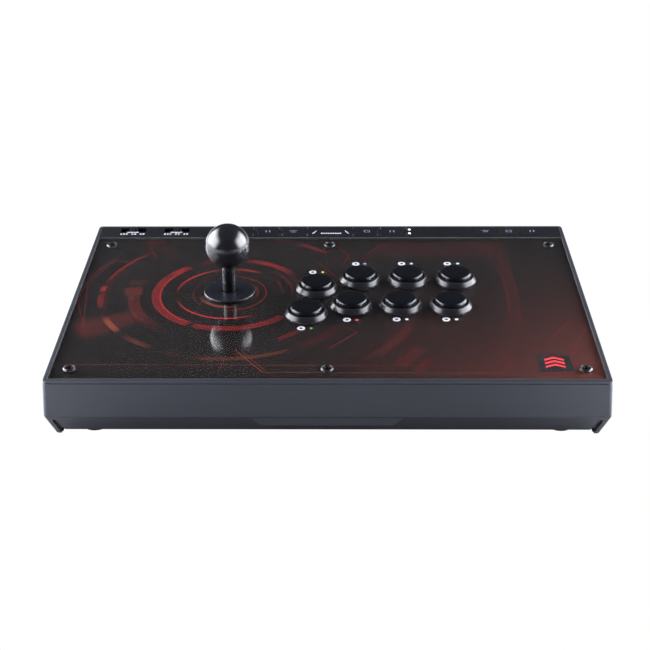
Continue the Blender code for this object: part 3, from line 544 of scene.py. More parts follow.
def make_set_out():
    """Geometry Nodes: one copy of a shape on each point, leaned with the surface and spun at random."""
    tree = bpy.data.node_groups.new("set_out", "GeometryNodeTree")
    face = tree.interface
    face.new_socket("Geometry", in_out="INPUT", socket_type="NodeSocketGeometry")
    for label, kind in (("Shape", "Object"), ("Lean", "Float"), ("Spin", "Float"), ("Seed", "Int"),
                        ("Finish", "Material")):
        face.new_socket(label, in_out="INPUT", socket_type="NodeSocket" + kind)
    face.new_socket("Geometry", in_out="OUTPUT", socket_type="NodeSocketGeometry")
    given = tree.nodes.new("NodeGroupInput").outputs
    shape = add(tree, "GeometryNodeObjectInfo", {"Object": given["Shape"]})
    lean = add(tree, "ShaderNodeCombineXYZ", {"X": given["Lean"]})
    copies = add(tree, "GeometryNodeInstanceOnPoints", {
        "Points": given["Geometry"], "Instance": shape.outputs["Geometry"], "Rotation": lean.outputs[0]})
    chance = add(tree, "FunctionNodeRandomValue", {"Seed": given["Seed"]}, data_type="FLOAT")
    amount = add(tree, "ShaderNodeMath", {0: chance.outputs[1], 1: given["Spin"]}, operation="MULTIPLY")
    spin = add(tree, "ShaderNodeCombineXYZ", {"Z": amount.outputs[0]})
    spun = add(tree, "GeometryNodeRotateInstances", {
        "Instances": copies.outputs[0], "Rotation": spin.outputs[0]})
    real = add(tree, "GeometryNodeRealizeInstances", {"Geometry": spun.outputs[0]})
    done = add(tree, "GeometryNodeSetMaterial", {"Geometry": real.outputs[0], "Material": given["Finish"]})
    tree.links.new(done.outputs[0], tree.nodes.new("NodeGroupOutput").inputs["Geometry"])
    return tree


set_out = make_set_out()


def laid_out(name, bm, places, finish, lean=0.0, spin=0.0, seed=0, smooth=35.0):
    """Copies of a shape in millimetres at points in metres, as one plain mesh."""
    shape = finish_mesh(name + "_shape", bm, finish, Matrix.Scale(MM, 4), smooth)
    mesh = bpy.data.meshes.new(name)
    mesh.from_pydata([tuple(place) for place in places], [], [])
    obj = link_mesh(name, mesh, finish)
    nodes = obj.modifiers.new("set_out", "NODES")
    nodes.node_group = set_out
    values = {"Shape": shape, "Lean": lean, "Spin": spin, "Seed": seed, "Finish": finish}
    for item in set_out.interface.items_tree:
        if item.in_out == "INPUT" and item.name in values:
            nodes[item.identifier] = values[item.name]
    settle(obj)
    bpy.data.objects.remove(shape)
    return obj


def middle(node):
    """The middle of a CAD node's box."""
    low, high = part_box(node)
    return (low + high) / 2


foot_low, foot_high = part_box("foot_1")
foot_radius = (foot_high.x - foot_low.x) / 2 / MM
foot_height = (foot_high.z - foot_low.z) / MM
foot_outline = [(0.0, 0.35)]
for ring in range(FOOT_RINGS):
    near = foot_radius * (ring + 0.5) / (FOOT_RINGS + 0.6)
    foot_outline += [(near, 0.35), (near + 0.35, 0.0), (near + 1.25, 0.0), (near + 1.6, 0.35)]
foot_outline += [(foot_radius - 0.5, 0.35), (foot_radius, 0.9), (foot_radius, foot_height), (0.0, foot_height)]
rubber = moulded_plastic("foot_rubber", (0.014, 0.014, 0.015), 0.72, pebbles=900.0, depth=0.3)
foot_names = numbered("foot", 4)
foot_places = [Vector((middle(node).x, middle(node).y, foot_low.z)) for node in foot_names]
feet = laid_out("rubber_feet", turned(foot_outline), foot_places, rubber)
fit(feet, "root", "rubber", *foot_names)

CASE_SCREWS = [(x, y) for y in (-92.0, 92.0) for x in (-150.0, -50.0, 50.0, 150.0)]
CASE_SCREW_HEAD = 0.8             # how far each head stands below the tray, above the foot's own height


def cross_slot(angle, radius):
    """How far a cross recess reaches at an angle; 1 for the round parts."""
    if radius > 1.9:
        return 1.0
    return 0.28 + 0.72 * abs(cos(2 * angle)) ** 6


tray_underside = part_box("foot_1")[1].z
case_screw_outline = filleted([
    (0.0, 0.5), (1.7, 0.5), (1.7, -CASE_SCREW_HEAD + 0.05), (2.2, -CASE_SCREW_HEAD, 0.2),
    (CASE_SCREW_RADIUS, -0.2, 0.5), (CASE_SCREW_RADIUS, 0.7), (0.0, 0.7)])
zinc_screw = moulded_plastic("zinc_screw", (0.035, 0.035, 0.038), 0.3, pebbles=1500.0, depth=0.1)
screw_spots = [Vector((x * MM, y * MM, tray_underside)) for x, y in CASE_SCREWS]
case_screws = laid_out("case_screws", turned(case_screw_outline, 48, cross_slot), screw_spots, zinc_screw,
                       spin=pi / 2, seed=7)
fit(case_screws, "root", "screw")

# ---------------------------------------------------------------- printed sheet
# A dark printed film under the clear cover: rings round the lever in reds, thin drafting
# lines and blocks, warming to a rusty brown at the lower right corner.
LEVER_PLACE = panel_centre("dust_washer")
FILM_WIDTH = 396.0
FILM_LENGTH = 236.0


def make_ring_arc():
    """Mask of one arc of a ring round the lever: Radius and Width in mm, Middle and Sweep in degrees."""
    tree, given, made = effect(
        "ring_arc",
        {"Place": ("Vector", None), "Radius": ("Float", 40.0), "Width": ("Float", 1.0),
         "Middle": ("Float", 0.0), "Sweep": ("Float", 90.0), "Fade": ("Float", 3.0)}, {"Mask": "Float"})
    parts = add(tree, "ShaderNodeSeparateXYZ", {0: given["Place"]}).outputs
    flat = add(tree, "ShaderNodeCombineXYZ", {0: parts[0], 1: parts[1]}).outputs[0]
    far = add(tree, "ShaderNodeVectorMath", {0: flat}, operation="LENGTH").outputs["Value"]
    off = maths(tree, "ABSOLUTE", maths(tree, "SUBTRACT", far, given["Radius"]))
    half = maths(tree, "MULTIPLY", given["Width"], 0.5)
    room = maths(tree, "SUBTRACT", half, off)
    band = maths(tree, "MULTIPLY_ADD", room, 4.0, 0.5, clamp=True)
    angle = maths(tree, "ARCTAN2", parts[1], parts[0])
    turned_by = maths(tree, "SUBTRACT", angle, maths(tree, "RADIANS", given["Middle"]))
    near = maths(tree, "COSINE", turned_by)
    limit = maths(tree, "COSINE", maths(tree, "RADIANS", maths(tree, "MULTIPLY", given["Sweep"], 0.5)))
    inside = maths(tree, "MULTIPLY", maths(tree, "SUBTRACT", near, limit), given["Fade"], clamp=True)
    tree.links.new(maths(tree, "MULTIPLY", band, inside), made["Mask"])
    return tree


def make_bar():
    """Mask of a straight bar, Length by Width in mm, turned by Angle in degrees about its Centre."""
    tree, given, made = effect(
        "drafted_bar",
        {"Place": ("Vector", None), "Centre": ("Vector", (0, 0, 0)), "Angle": ("Float", 0.0),
         "Length": ("Float", 20.0), "Width": ("Float", 0.6)}, {"Mask": "Float"})
    shifted = add(tree, "ShaderNodeVectorMath", {0: given["Place"], 1: given["Centre"]}, operation="SUBTRACT")
    back = maths(tree, "MULTIPLY", maths(tree, "RADIANS", given["Angle"]), -1.0)
    level = add(tree, "ShaderNodeVectorRotate", {"Vector": shifted.outputs[0], "Angle": back},
                rotation_type="Z_AXIS")
    parts = add(tree, "ShaderNodeSeparateXYZ", {0: level.outputs[0]}).outputs
    sides = []
    for part, size in ((parts[0], given["Length"]), (parts[1], given["Width"])):
        room = maths(tree, "SUBTRACT", maths(tree, "MULTIPLY", size, 0.5), maths(tree, "ABSOLUTE", part))
        sides.append(maths(tree, "MULTIPLY_ADD", room, 4.0, 0.5, clamp=True))
    tree.links.new(maths(tree, "MULTIPLY", *sides), made["Mask"])
    return tree


ring_arc = make_ring_arc()
drafted_bar = make_bar()

CRIMSON = (0.36, 0.020, 0.018)
RUST = (0.30, 0.070, 0.030)
WINE = (0.085, 0.010, 0.009)
INK_STRENGTH = 0.78
# radius, width, middle, sweep, fade, ink, strength
ARCS = [
    (42, 2.8, 73, 34, 12, CRIMSON, 0.85), (42, 2, 138, 80, 4, CRIMSON, 0.6),
    (42, 1.8, 248, 106, 3, CRIMSON, 0.65), (42, 2.2, 284, 34, 6, CRIMSON, 0.5),
    (42, 1.4, 20, 44, 6, CRIMSON, 0.35), (58, 7, 139, 26, 20, CRIMSON, 0.68),
    (58, 7.4, 196, 92, 30, CRIMSON, 0.24), (55, 1.4, 190, 110, 6, CRIMSON, 0.45),
    (58, 7, 282, 76, 20, CRIMSON, 0.22), (59, 6, 58, 50, 6, CRIMSON, 0.5),
    (59, 6, 113, 10, 60, CRIMSON, 0.45), (56.5, 5, 15, 50, 3, CRIMSON, 0.22),
    (50, 2.6, 20, 70, 3, WINE, 0.9), (29, 0.7, 0, 200, 2, CRIMSON, 0.5),
    (29, 0.6, 180, 120, 2, RUST, 0.35), (23.4, 3.2, 238, 100, 2, RUST, 0.5),
    (22.4, 2.6, 10, 80, 2, RUST, 0.55), (101.5, 4.5, 176, 7, 200, CRIMSON, 1),
    (101.5, 3, 152, 40, 20, CRIMSON, 0.2), (101.5, 5, 187, 16, 60, CRIMSON, 0.34),
    (101.5, 5, 211, 16, 120, RUST, 0.45), (101.5, 5, 231, 19, 60, RUST, 0.18),
    (102.5, 5, 251, 11, 60, RUST, 0.17), (103.5, 4.6, 279, 42, 30, RUST, 0.13),
    (103, 9, 315, 30, 8, CRIMSON, 0.15), (105, 4.4, 52, 20, 40, CRIMSON, 0.30),
    (105, 4, 68, 12, 60, CRIMSON, 0.16), (102, 4, 36, 8, 60, CRIMSON, 0.2),
    (103, 50, 209, 17, 120, WINE, 0.30), (105, 44, 127, 9, 120, WINE, 0.25),
    (80, 15, 176, 8, 200, WINE, 0.3),
    (118, 0.8, 180, 70, 6, CRIMSON, 0.25), (97.5, 0.8, 175, 50, 6, CRIMSON, 0.2),
    (220, 1.4, 5, 60, 4, WINE, 0.7), (228, 0.8, 5, 70, 4, WINE, 0.7),
    (150, 8, 330, 30, 12, CRIMSON, 0.14),
]
ARCS += [(72.0 + 1.9 * step, 0.7, 200.0, 62.0, 6.0, CRIMSON, 0.32) for step in range(5)]
ARCS += [(136.0 + 6.5 * step, 0.6, 334.0, 62.0, 4.0, CRIMSON, 0.16) for step in range(6)]
# centre u, centre v, angle, length, width, ink, strength
BARS = [
    (95, 218, 0, 104, 21, WINE, 0.08), (-30, 70, 40, 18, 5, CRIMSON, 0.13),
    (60, 38, 58, 30, 12, CRIMSON, 0.05), (70, 27, 60, 22, 7, CRIMSON, 0.05),
    (144, 150, 90, 130, 10, WINE, 0.08),
]
# from u, v to u, v, width, ink, strength
LINES = [
    (-156, 228, -144, 204, 0.7, CRIMSON, 0.24), (-156, 228, -140, 236, 0.7, CRIMSON, 0.24),
    (-179, 199, -160, 191, 0.6, CRIMSON, 0.30), (-179, 199, -194, 156, 0.6, CRIMSON, 0.20),
    (-194, 156, -186, 81, 0.6, CRIMSON, 0.22), (-186, 81, -179, 74, 0.6, CRIMSON, 0.24),
    (-68, 48, -46, 16, 0.8, RUST, 0.40), (-64, 48, -43, 16, 0.6, RUST, 0.26),
    (-46, 16, 126, 15, 0.7, RUST, 0.28), (-190, 27, -6, 26, 0.6, RUST, 0.30),
    (0, 26, 124, 25, 0.6, CRIMSON, 0.22), (-75, 34, -78, 15, 0.5, RUST, 0.24),
    (169, 70, 182, 91, 0.6, CRIMSON, 0.32), (182, 91, 195, 84, 0.6, CRIMSON, 0.30),
    (195, 84, 181, 49, 0.6, CRIMSON, 0.26), (176, 61, 181, 49, 0.6, CRIMSON, 0.26),
    (181, 49, 170, 17, 0.6, CRIMSON, 0.26), (121, 52, 134, 33, 0.6, CRIMSON, 0.26),
    (134, 33, 124, 12, 0.6, CRIMSON, 0.28), (3, 230, 17, 206, 0.7, CRIMSON, 0.34),
    (17, 206, 11, 190, 0.7, CRIMSON, 0.30), (-11, 197, 13, 155, 0.6, CRIMSON, 0.30),
    (0, 49, 22, 75, 0.7, CRIMSON, 0.34), (22, 75, 13, 84, 0.7, CRIMSON, 0.30),
    (44, 230, 22, 193, 0.6, CRIMSON, 0.24), (48, 230, 27, 193, 0.6, CRIMSON, 0.18),
    (32, 206, 130, 206, 0.5, CRIMSON, 0.20), (44, 230, 150, 230, 0.5, CRIMSON, 0.20),
    (-161, 160, -146, 160, 1.1, WINE, 1), (-160, 156, -146, 156, 1.1, WINE, 0.9),
]
LINES += [(-162.0, 146.3 - 3.3 * step, -147.5, 146.3 - 3.3 * step, 1.6, WINE, 0.9) for step in range(4)]
for u0, v0, u1, v1, width, ink, strength in LINES:
    run = Vector((u1 - u0, v1 - v0))
    BARS.append(((u0 + u1) / 2, (v0 + v1) / 2, degrees(atan2(run.y, run.x)), run.length, width, ink, strength))


def panel_place(tree, origin):
    """Object coordinates turned to the panel's frame, in millimetres from a point on it."""
    back = (PANEL @ Matrix.Translation(origin * MM)).inverted()
    local = add(tree, "ShaderNodeMapping", {
        "Vector": object_place(tree), "Location": back.translation, "Rotation": back.to_euler()},
        vector_type="POINT")
    scaled = add(tree, "ShaderNodeVectorMath", {0: local.outputs[0], "Scale": 1 / MM}, operation="SCALE")
    return scaled.outputs[0]


def printed_film():
    """The film's ink: near-black, rusty at the lower right, with every ring and bar laid over it."""
    material, tree, surface = blank_material("printed_film")
    from_lever = panel_place(tree, LEVER_PLACE)
    from_corner = panel_place(tree, Vector((0.0, 0.0, 0.0)))
    parts = add(tree, "ShaderNodeSeparateXYZ", {0: from_corner}).outputs
    rightward = maths(tree, "MULTIPLY_ADD", parts[0], 1 / FILM_WIDTH, 0.5, clamp=True)
    frontward = maths(tree, "MULTIPLY_ADD", parts[1], -1 / FILM_LENGTH, 1.0, clamp=True)
    warm = maths(tree, "MULTIPLY", maths(tree, "POWER", rightward, 4.4), maths(tree, "POWER", frontward, 2.4))
    mottle = maths(tree, "MULTIPLY", noise(tree, from_corner, 0.02, 5.0), 0.35)
    ink = blend(tree, warm, (0.0023, 0.0017, 0.0015, 1), (0.080, 0.0190, 0.0145, 1))
    ink = blend(tree, mottle, ink, (0.0050, 0.0026, 0.0021, 1))
    masks = []
    for radius, width, angle, sweep, fade, colour, strength in ARCS:
        mask = use(tree, ring_arc, {"Place": from_lever, "Radius": radius, "Width": width, "Middle": angle,
                                    "Sweep": sweep, "Fade": fade})["Mask"]
        masks.append((mask, colour, strength))
    for u, v, angle, length, width, colour, strength in BARS:
        mask = use(tree, drafted_bar, {"Place": from_corner, "Centre": (u, v, 0.0), "Angle": angle,
                                       "Length": length, "Width": width})["Mask"]
        masks.append((mask, colour, strength))
    for mask, colour, strength in masks:
        ink = blend(tree, maths(tree, "MULTIPLY", mask, strength * INK_STRENGTH), ink, (*colour, 1))
    finish_surface(tree, surface, noise(tree, from_corner, 3.0, 2.0), 0.05, 0.0001, {
        "Base Color": ink, "Roughness": 0.6, "Specular IOR Level": 0.02})
    return material


dress(printed_film(), "art_sheet")

# ---------------------------------------------------------------- clear cover
# A 3 mm polished acrylic sheet over the print. Its sawn edges are left frosted and
# catch the light as a pale line all round.
COVER_EDGE = 0.25


def clear_acrylic():
    """Clear, with a polished surface: see-through face on, a mirror at a shallow angle."""
    material, tree, surface = blank_material("clear_acrylic")
    smears = noise(tree, object_place(tree), 18.0, 6.0)
    rough = maths(tree, "MULTIPLY_ADD", smears, 0.05, 0.02)
    clear = add(tree, "ShaderNodeBsdfTransparent", {"Color": (0.95, 0.95, 0.96, 1)})
    glass = add(tree, "ShaderNodeBsdfPrincipled", {
        "Base Color": (0.97, 0.97, 0.98, 1), "Roughness": rough, "IOR": 1.49, "Transmission Weight": 1.0})
    path = add(tree, "ShaderNodeLightPath").outputs
    lit = maths(tree, "MAXIMUM", path["Is Shadow Ray"], path["Is Diffuse Ray"])
    mixed = add(tree, "ShaderNodeMixShader", {0: lit, 1: glass.outputs[0], 2: clear.outputs[0]})
    tree.links.new(mixed.outputs[0], surface)
    return material


def frosted_edge():
    """The sawn edge: pale along its top arris, painted dark lower down as the shade in the well."""
    material, tree, surface = blank_material("frosted_edge")
    place = panel_place(tree, Vector((0.0, 0.0, 0.0)))
    depth = add(tree, "ShaderNodeSeparateXYZ", {0: place}).outputs[2]
    # painted shade: the edge darkens with depth below the cover's top
    high = maths(tree, "MULTIPLY_ADD", depth, 0.8, 1.2, clamp=True)
    saw = noise(tree, place, 1.4, 4.0)
    finish_surface(tree, surface, saw, 0.3, 0.0002, {
        "Base Color": blend(tree, high, (0.015, 0.015, 0.017, 1), (0.16, 0.165, 0.18, 1)),
        "Roughness": maths(tree, "MULTIPLY_ADD", saw, 0.2, 0.35)})
    return material


acrylic = clear_acrylic()
frosted = frosted_edge()
cover = softened("panel_cover", "clear_cover", acrylic, COVER_EDGE, segments=2)
cover.data.materials.append(frosted)
for face in cover.data.polygons:
    if abs(face.normal.dot(OUTWARD)) < 0.35:
        face.material_index = 1
fit(cover, "root", "clear_cover", "panel_cover")

# ---------------------------------------------------------------- panel screws
# Six low socket-head screws in black oxide that hold the cover, print and steel plate
# down to the bosses of the top shell; the bevel round each head is painted bright as a highlight ring.
HEX_ACROSS = 1.73
HEX_DEPTH = 2.0


def hexagon(angle, radius):
    """How far a hexagon's side is at an angle, for the socket; 1 for the round parts."""
    if radius > HEX_ACROSS * 1.2:
        return 1.0
    return cos(pi / 6) / cos((angle % (pi / 3)) - pi / 6)


def black_oxide(name, colour=(0.018, 0.018, 0.020)):
    """Blackened steel with fine turning marks, its edges painted pale as a highlight, partly wear."""
    material, tree, surface = blank_material(name)
    place = object_place(tree)
    marks = use(tree, moulded_grain, {"Place": place, "Colour": (*colour, 1), "Pebbles": 2600.0,
                                      "Roughness": 0.28, "Mottle": 0.4})
    edge = use(tree, worn_and_highlit_edge, {"Place": place, "Radius": 0.0003})
    finish_surface(tree, surface, marks["Height"], 0.1, 0.0001, {
        "Base Color": blend(tree, edge["Mask"], marks["Colour"], (0.30, 0.30, 0.31, 1)), "Metallic": 0.9,
        "Roughness": marks["Roughness"]})
    return material


head_radius, screw_tip, head_top = turned_size("panel_screw_1")
screw_outline = filleted([
    (0.0, head_top - HEX_DEPTH), (HEX_ACROSS, head_top - HEX_DEPTH), (HEX_ACROSS, head_top - 0.35, 0.1),
    (2.1, head_top - 0.35, 0.1), (3.3, head_top - 0.3, 0.1), (3.5, head_top, 0.12),
    (head_radius - 0.35, head_top - 0.35, 0.3), (head_radius, 0.35, 0.1), (2.2, 0.3),
    (2.2, screw_tip), (0.0, screw_tip)])
oxide = black_oxide("black_oxide")
screw_names = numbered("panel_screw", 6)
screw_places = [PANEL_MM @ panel_centre(node) for node in screw_names]
screws = laid_out("cover_screws", turned(screw_outline, shape=hexagon), screw_places, oxide,
                  lean=SLOPE, spin=pi / 3, seed=4)
fit(screws, "root", "screw", *screw_names)
# painted highlight: a paler oxide ring laid over each head's bevel, standing for the reflection round its edge
painted_highlight_ring = tube([(head_radius - 0.85, head_top - 0.30), (head_radius - 0.75, head_top - 0.12),
                  (head_radius + 0.03, 0.52), (head_radius + 0.03, 0.32), (head_radius - 0.4, 0.32)], 48)
painted_highlight_oxide = black_oxide("painted_highlight_oxide", (0.06, 0.06, 0.064))
fit(laid_out("screw_bevels", painted_highlight_ring, screw_places, painted_highlight_oxide, lean=SLOPE), "root", "screw")

# ---------------------------------------------------------------- push buttons
# Eight 30 mm snap-in arcade buttons: a polished black rim and barrel clipped into the
# panel, and a slightly crowned plunger that travels 3.2 mm onto its switch.
PLUNGER_HOLE = 12.8
PLUNGER_WELL = -15.0
BARREL_RADIUS = 14.6
polished_rim = moulded_plastic("polished_rim", (0.009, 0.009, 0.011), 0.24, pebbles=500.0, depth=0.01,
                               shine=0.28, mottle=0.3)
plunger_satin = moulded_plastic("plunger_satin", (0.0022, 0.0026, 0.0038), 0.22, pebbles=1500.0, depth=0.06,
                                shine=0.26, mottle=0.3)
rim_radius, barrel_bottom, rim_top = turned_size("button_housing_1")
button_outline = filleted([
    (0.0, PLUNGER_WELL), (PLUNGER_HOLE, PLUNGER_WELL), (PLUNGER_HOLE, rim_top - 0.3, 0.2),
    (13.3, rim_top, 0.4), (14.2, rim_top - 0.05, 0.6), (BARREL_RADIUS, rim_top - 0.3, 0.5),
    (rim_radius, 0.75, 0.3), (rim_radius - 0.1, 0.3, 0.1), (BARREL_RADIUS, 0.3),
    (BARREL_RADIUS, barrel_bottom), (0.0, barrel_bottom)], steps=6)
rim_names = numbered("button_housing", 8)
rim_places = [PANEL_MM @ panel_centre(node) for node in rim_names]
rims = laid_out("button_rims", turned(button_outline, 96), rim_places, polished_rim, lean=SLOPE)
fit(rims, "root", "button", *rim_names)

plunger_radius, plunger_bottom, plunger_top = turned_size("button_plunger_1")
plunger_outline = filleted([
    (0.0, plunger_top), (6.0, plunger_top - 0.05), (9.6, plunger_top - 0.2, 1.0),
    (11.7, plunger_top - 0.7, 0.9), (plunger_radius, plunger_top - 2.1, 0.9),
    (plunger_radius, plunger_bottom), (0.0, plunger_bottom)], steps=6)
for index, node in enumerate(numbered("button_plunger", 8), 1):
    place = PANEL_MM @ Matrix.Translation(panel_centre(node))
    plunger = finish_mesh(f"plunger_cap_{index}", turned(plunger_outline, 96), plunger_satin, place, 50.0)
    fit(plunger, f"plunger_{index}", "plunger", node)

# ---------------------------------------------------------------- printed labels
# Beside each button a white disc with a plain dark mark, and a dark disc with a small
# coloured shape, screen-printed on the film; each is a thin layer just under the cover.
LABEL_RADIUS = 3.0
INK_THICKNESS = 0.05
INK_STEP = 0.06                   # from one layer of ink to the next
# disc u, disc v, mark u, mark v, mark's ink
LABELS = [
    (-13.3, 173.1, -5.1, 173.1, (0.75, 0.70, 0.05)), (21.9, 188.4, 29.4, 188.4, (0.30, 0.36, 0.48)),
    (59.7, 188.8, 67.7, 188.8, (0.55, 0.58, 0.62)), (97.3, 188.7, 106.0, 188.7, (0.45, 0.50, 0.58)),
    (-20.3, 78.4, -12.7, 78.4, (0.25, 0.62, 0.12)), (14.4, 91.8, 22.0, 91.5, (0.75, 0.06, 0.08)),
    (52.4, 92.6, 60.1, 92.6, (0.60, 0.60, 0.62)), (90.2, 92.5, 98.1, 92.5, (0.60, 0.60, 0.62)),
]


def printed_ink(name, colour):
    """Screen-print ink with a slightly uneven lay."""
    return moulded_plastic(name, colour, 0.5, pebbles=3000.0, depth=0.05, shine=0.05, mottle=0.12)


def disc(radius, sides=40):
    """A flat blank of ink, round or many-sided."""
    return turned([(0.0, 0.0), (radius, 0.0), (radius, INK_THICKNESS), (0.0, INK_THICKNESS)], sides)


def print_on(name, outlines, ink, w, body, slot):
    """Several flat printed shapes as one piece."""
    bm = bmesh.new()
    for outline in outlines:
        base = bm.faces.new([bm.verts.new((u, v, w)) for u, v in outline])
        lifted = bmesh.ops.extrude_face_region(bm, geom=[base])["geom"]
        raised = [g for g in lifted if isinstance(g, bmesh.types.BMVert)]
        bmesh.ops.translate(bm, vec=(0, 0, INK_THICKNESS), verts=raised)
    return fit(finish_mesh(name, bm, ink, PANEL_MM), body, slot)


label_w = panel_box("art_sheet")[1].z + INK_STEP
PRINT_RISE = 2.4                  # how far up the slope the print lies from where the cover bends it to
white_ink = printed_ink("white_ink", (0.50, 0.50, 0.52))
dark_ink = printed_ink("dark_ink", (0.006, 0.006, 0.007))


def printed_discs(name, blank, spots, layer, ink):
    """The same flat shape printed at each spot, on the film or on the layer of ink below it."""
    places = [PANEL_MM @ Vector((u, v + PRINT_RISE, label_w + layer * INK_STEP)) for u, v in spots]
    fit(laid_out(name, blank, places, ink, lean=SLOPE), "root", "art_print")


disc_spots = [label[0:2] for label in LABELS]
mark_spots = [label[2:4] for label in LABELS]
printed_discs("label_discs", disc(LABEL_RADIUS), disc_spots, 0, white_ink)
printed_discs("label_grounds", disc(LABEL_RADIUS + 0.1), mark_spots, 0, dark_ink)
printed_discs("label_dashes", disc(1.5, 5), disc_spots, 1, dark_ink)
for index, (label, spot) in enumerate(zip(LABELS, mark_spots)):
    mark_ink = printed_ink(f"mark_ink_{index + 1}", label[4])
    printed_discs(f"label_mark_{index + 1}", disc(1.45, 3 + index % 4), [spot], 1, mark_ink)

# ---------------------------------------------------------------- emblem square
# A dark square at the lower right, screen-printed on the film like the labels, with
# three plain red chevrons one above another.
EMBLEM = (152.0, 17.4, 176.0, 40.4)
CHEVRON_PITCH = 5.0
CHEVRON_RISE = 3.4
CHEVRON_THICKNESS = 2.2
red_ink = printed_ink("red_ink", (0.62, 0.03, 0.035))
left, low, right, high = EMBLEM
middle_u = (left + right) / 2
print_on("emblem_ground", [[(left, low), (right, low), (right, high), (left, high)]], dark_ink, label_w,
         "root", "art_print")
for index in range(3):
    rise = low + CHEVRON_PITCH * (index + 1)
    under = [(left + 5.0, rise), (middle_u, rise + CHEVRON_RISE), (right - 5.0, rise)]
    over = [(u, v + CHEVRON_THICKNESS) for u, v in reversed(under)]
    print_on(f"emblem_chevron_{index + 1}", [under + over], red_ink, label_w + INK_STEP, "root", "art_print")

# ---------------------------------------------------------------- lever
# A ball-top lever: polished phenolic ball on a plated shaft, a black nylon shaft cover
# and a loose dust washer that slides on the cover as the lever tilts.
BALL_STEPS = 40
SLEEVE_BORE = 3.3
WASHER_BORE = 5.85
ball_black = moulded_plastic("ball_black", (0.006, 0.006, 0.008), 0.17, pebbles=300.0, depth=0.006,
                             mottle=0.2)
ball_radius, ball_bottom, ball_summit = turned_size("ball_top")
ball_centre = ball_summit - ball_radius
start = asin(max(-1.0, (ball_bottom - ball_centre) / ball_radius))
ball_outline = [(0.0, ball_bottom)]
for step in range(BALL_STEPS + 1):
    angle = start + (pi / 2 - start) * step / BALL_STEPS
    ball_outline.append((max(0.0, ball_radius * cos(angle)), ball_centre + ball_radius * sin(angle)))
ball_outline[-1] = (0.0, ball_summit)
on_lever = PANEL_MM @ Matrix.Translation(panel_centre("ball_top"))
ball = finish_mesh("polished_ball", turned(ball_outline, 128), ball_black, on_lever, 40.0)
fit(ball, "lever", "ball", "ball_top")

sleeve_radius, sleeve_bottom, sleeve_top = turned_size("shaft_cover")
sleeve_outline = filleted([(SLEEVE_BORE, sleeve_bottom), (sleeve_radius, sleeve_bottom, 0.4),
                           (sleeve_radius, sleeve_top, 0.4), (SLEEVE_BORE, sleeve_top)])
sleeve_nylon = moulded_plastic("sleeve_nylon", (0.003, 0.003, 0.004), 0.26, pebbles=900.0, depth=0.03,
                               shine=0.12)
fit(finish_mesh("sleeve", tube(sleeve_outline), sleeve_nylon, on_lever, 40.0), "lever", "nylon", "shaft_cover")

washer_radius, washer_bottom, washer_top = turned_size("dust_washer")
washer_outline = filleted([(WASHER_BORE, washer_bottom), (washer_radius, washer_bottom, 0.3),
                           (washer_radius, washer_top, 0.7), (WASHER_BORE, washer_top, 0.3)])
washer_grain = moulded_plastic("washer_grain", (0.004, 0.0045, 0.007), 0.30, pebbles=620.0, depth=0.9,
                               shine=0.4)
on_washer = PANEL_MM @ Matrix.Translation(panel_centre("dust_washer"))
fit(finish_mesh("grained_washer", tube(washer_outline), washer_grain, on_washer, 40.0), "washer", "washer",
    "dust_washer")

inner_nylon = moulded_plastic("inner_nylon", (0.020, 0.020, 0.022), 0.45, pebbles=1300.0, depth=0.2)
dress(inner_nylon, "dust_shutter", "lever_actuator", "pivot_ball", "lever_housing", "restrictor_gate")

# ---------------------------------------------------------------- metal parts
# The panel plate and lever plate are cut flat from zinc-coated steel sheet; the shaft,
# ring and spring and the cable socket's shell are bright plated steel.


def brushed_steel(name, colour, roughness):
    """Sheet or turned steel with long fine scratches one way."""
    material, tree, surface = blank_material(name)
    place = object_place(tree)
    pulled = add(tree, "ShaderNodeMapping", {"Vector": place, "Scale": (25.0, 900.0, 900.0)})
    scratch = noise(tree, pulled.outputs[0], 1.0, 4.0)
    grain = use(tree, moulded_grain, {"Place": place, "Colour": (*colour, 1), "Pebbles": 700.0,
                                      "Mottle": 0.3, "Roughness": roughness})
    finish_surface(tree, surface, scratch, 0.12, 0.0001, {
        "Base Color": grain["Colour"], "Metallic": 1.0,
        "Roughness": maths(tree, "MULTIPLY_ADD", scratch, 0.2, grain["Roughness"])})
    return material


dress(brushed_steel("zinc_sheet", (0.48, 0.48, 0.50), 0.26), "panel_plate", "lever_plate")
dress(brushed_steel("plated_steel", (0.62, 0.62, 0.64), 0.14),
      "lever_shaft", "retaining_ring", "return_spring", "usb_socket")

# ---------------------------------------------------------------- control strip
# A satin strip along the back edge with slide switches, flush keys and two status
# lights; the keys are separate caps that move a fraction of a millimetre.
STRIP_EDGE = 0.2
strip_plastic = moulded_plastic("strip_slate", (0.0036, 0.0038, 0.005), 0.46, depth=0.10, wear_and_highlight=0.8, shine=0.12)
key_plastic = moulded_plastic("key_slate", (0.0040, 0.0043, 0.0056), 0.44, depth=0.10, wear_and_highlight=0.9, shine=0.13)
dark_key = moulded_plastic("dark_key", (0.003, 0.003, 0.004), 0.5, depth=0.10, wear_and_highlight=0.5, shine=0.15)
fit(softened("control_strip", "strip_bar", strip_plastic, STRIP_EDGE, 2), "root", "strip", "control_strip")
STRIP_KEYS = numbered("strip_key", 4) + numbered("corner_key", 3)
for node in STRIP_KEYS + numbered("slide_knob", 2):
    key_finish = dark_key if node == "corner_key_2" else key_plastic
    fit(softened(node, node + "_cap", key_finish, STRIP_EDGE, 2), node, "key", node)

icon_ink = printed_ink("icon_ink", (0.085, 0.09, 0.12))
pale_ink = printed_ink("pale_ink", (0.30, 0.30, 0.33))
strip_w = 0.02
TICK_LENGTH = 2.4
TICK_WIDTH = 0.5


def upright_bar(u, v, length, width, lean_by=0.0):
    """A bar's outline, its top shifted sideways by lean_by."""
    return [(u - width / 2 - lean_by / 2, v - length / 2), (u + width / 2 - lean_by / 2, v - length / 2),
            (u + width / 2 + lean_by / 2, v + length / 2), (u - width / 2 + lean_by / 2, v + length / 2)]


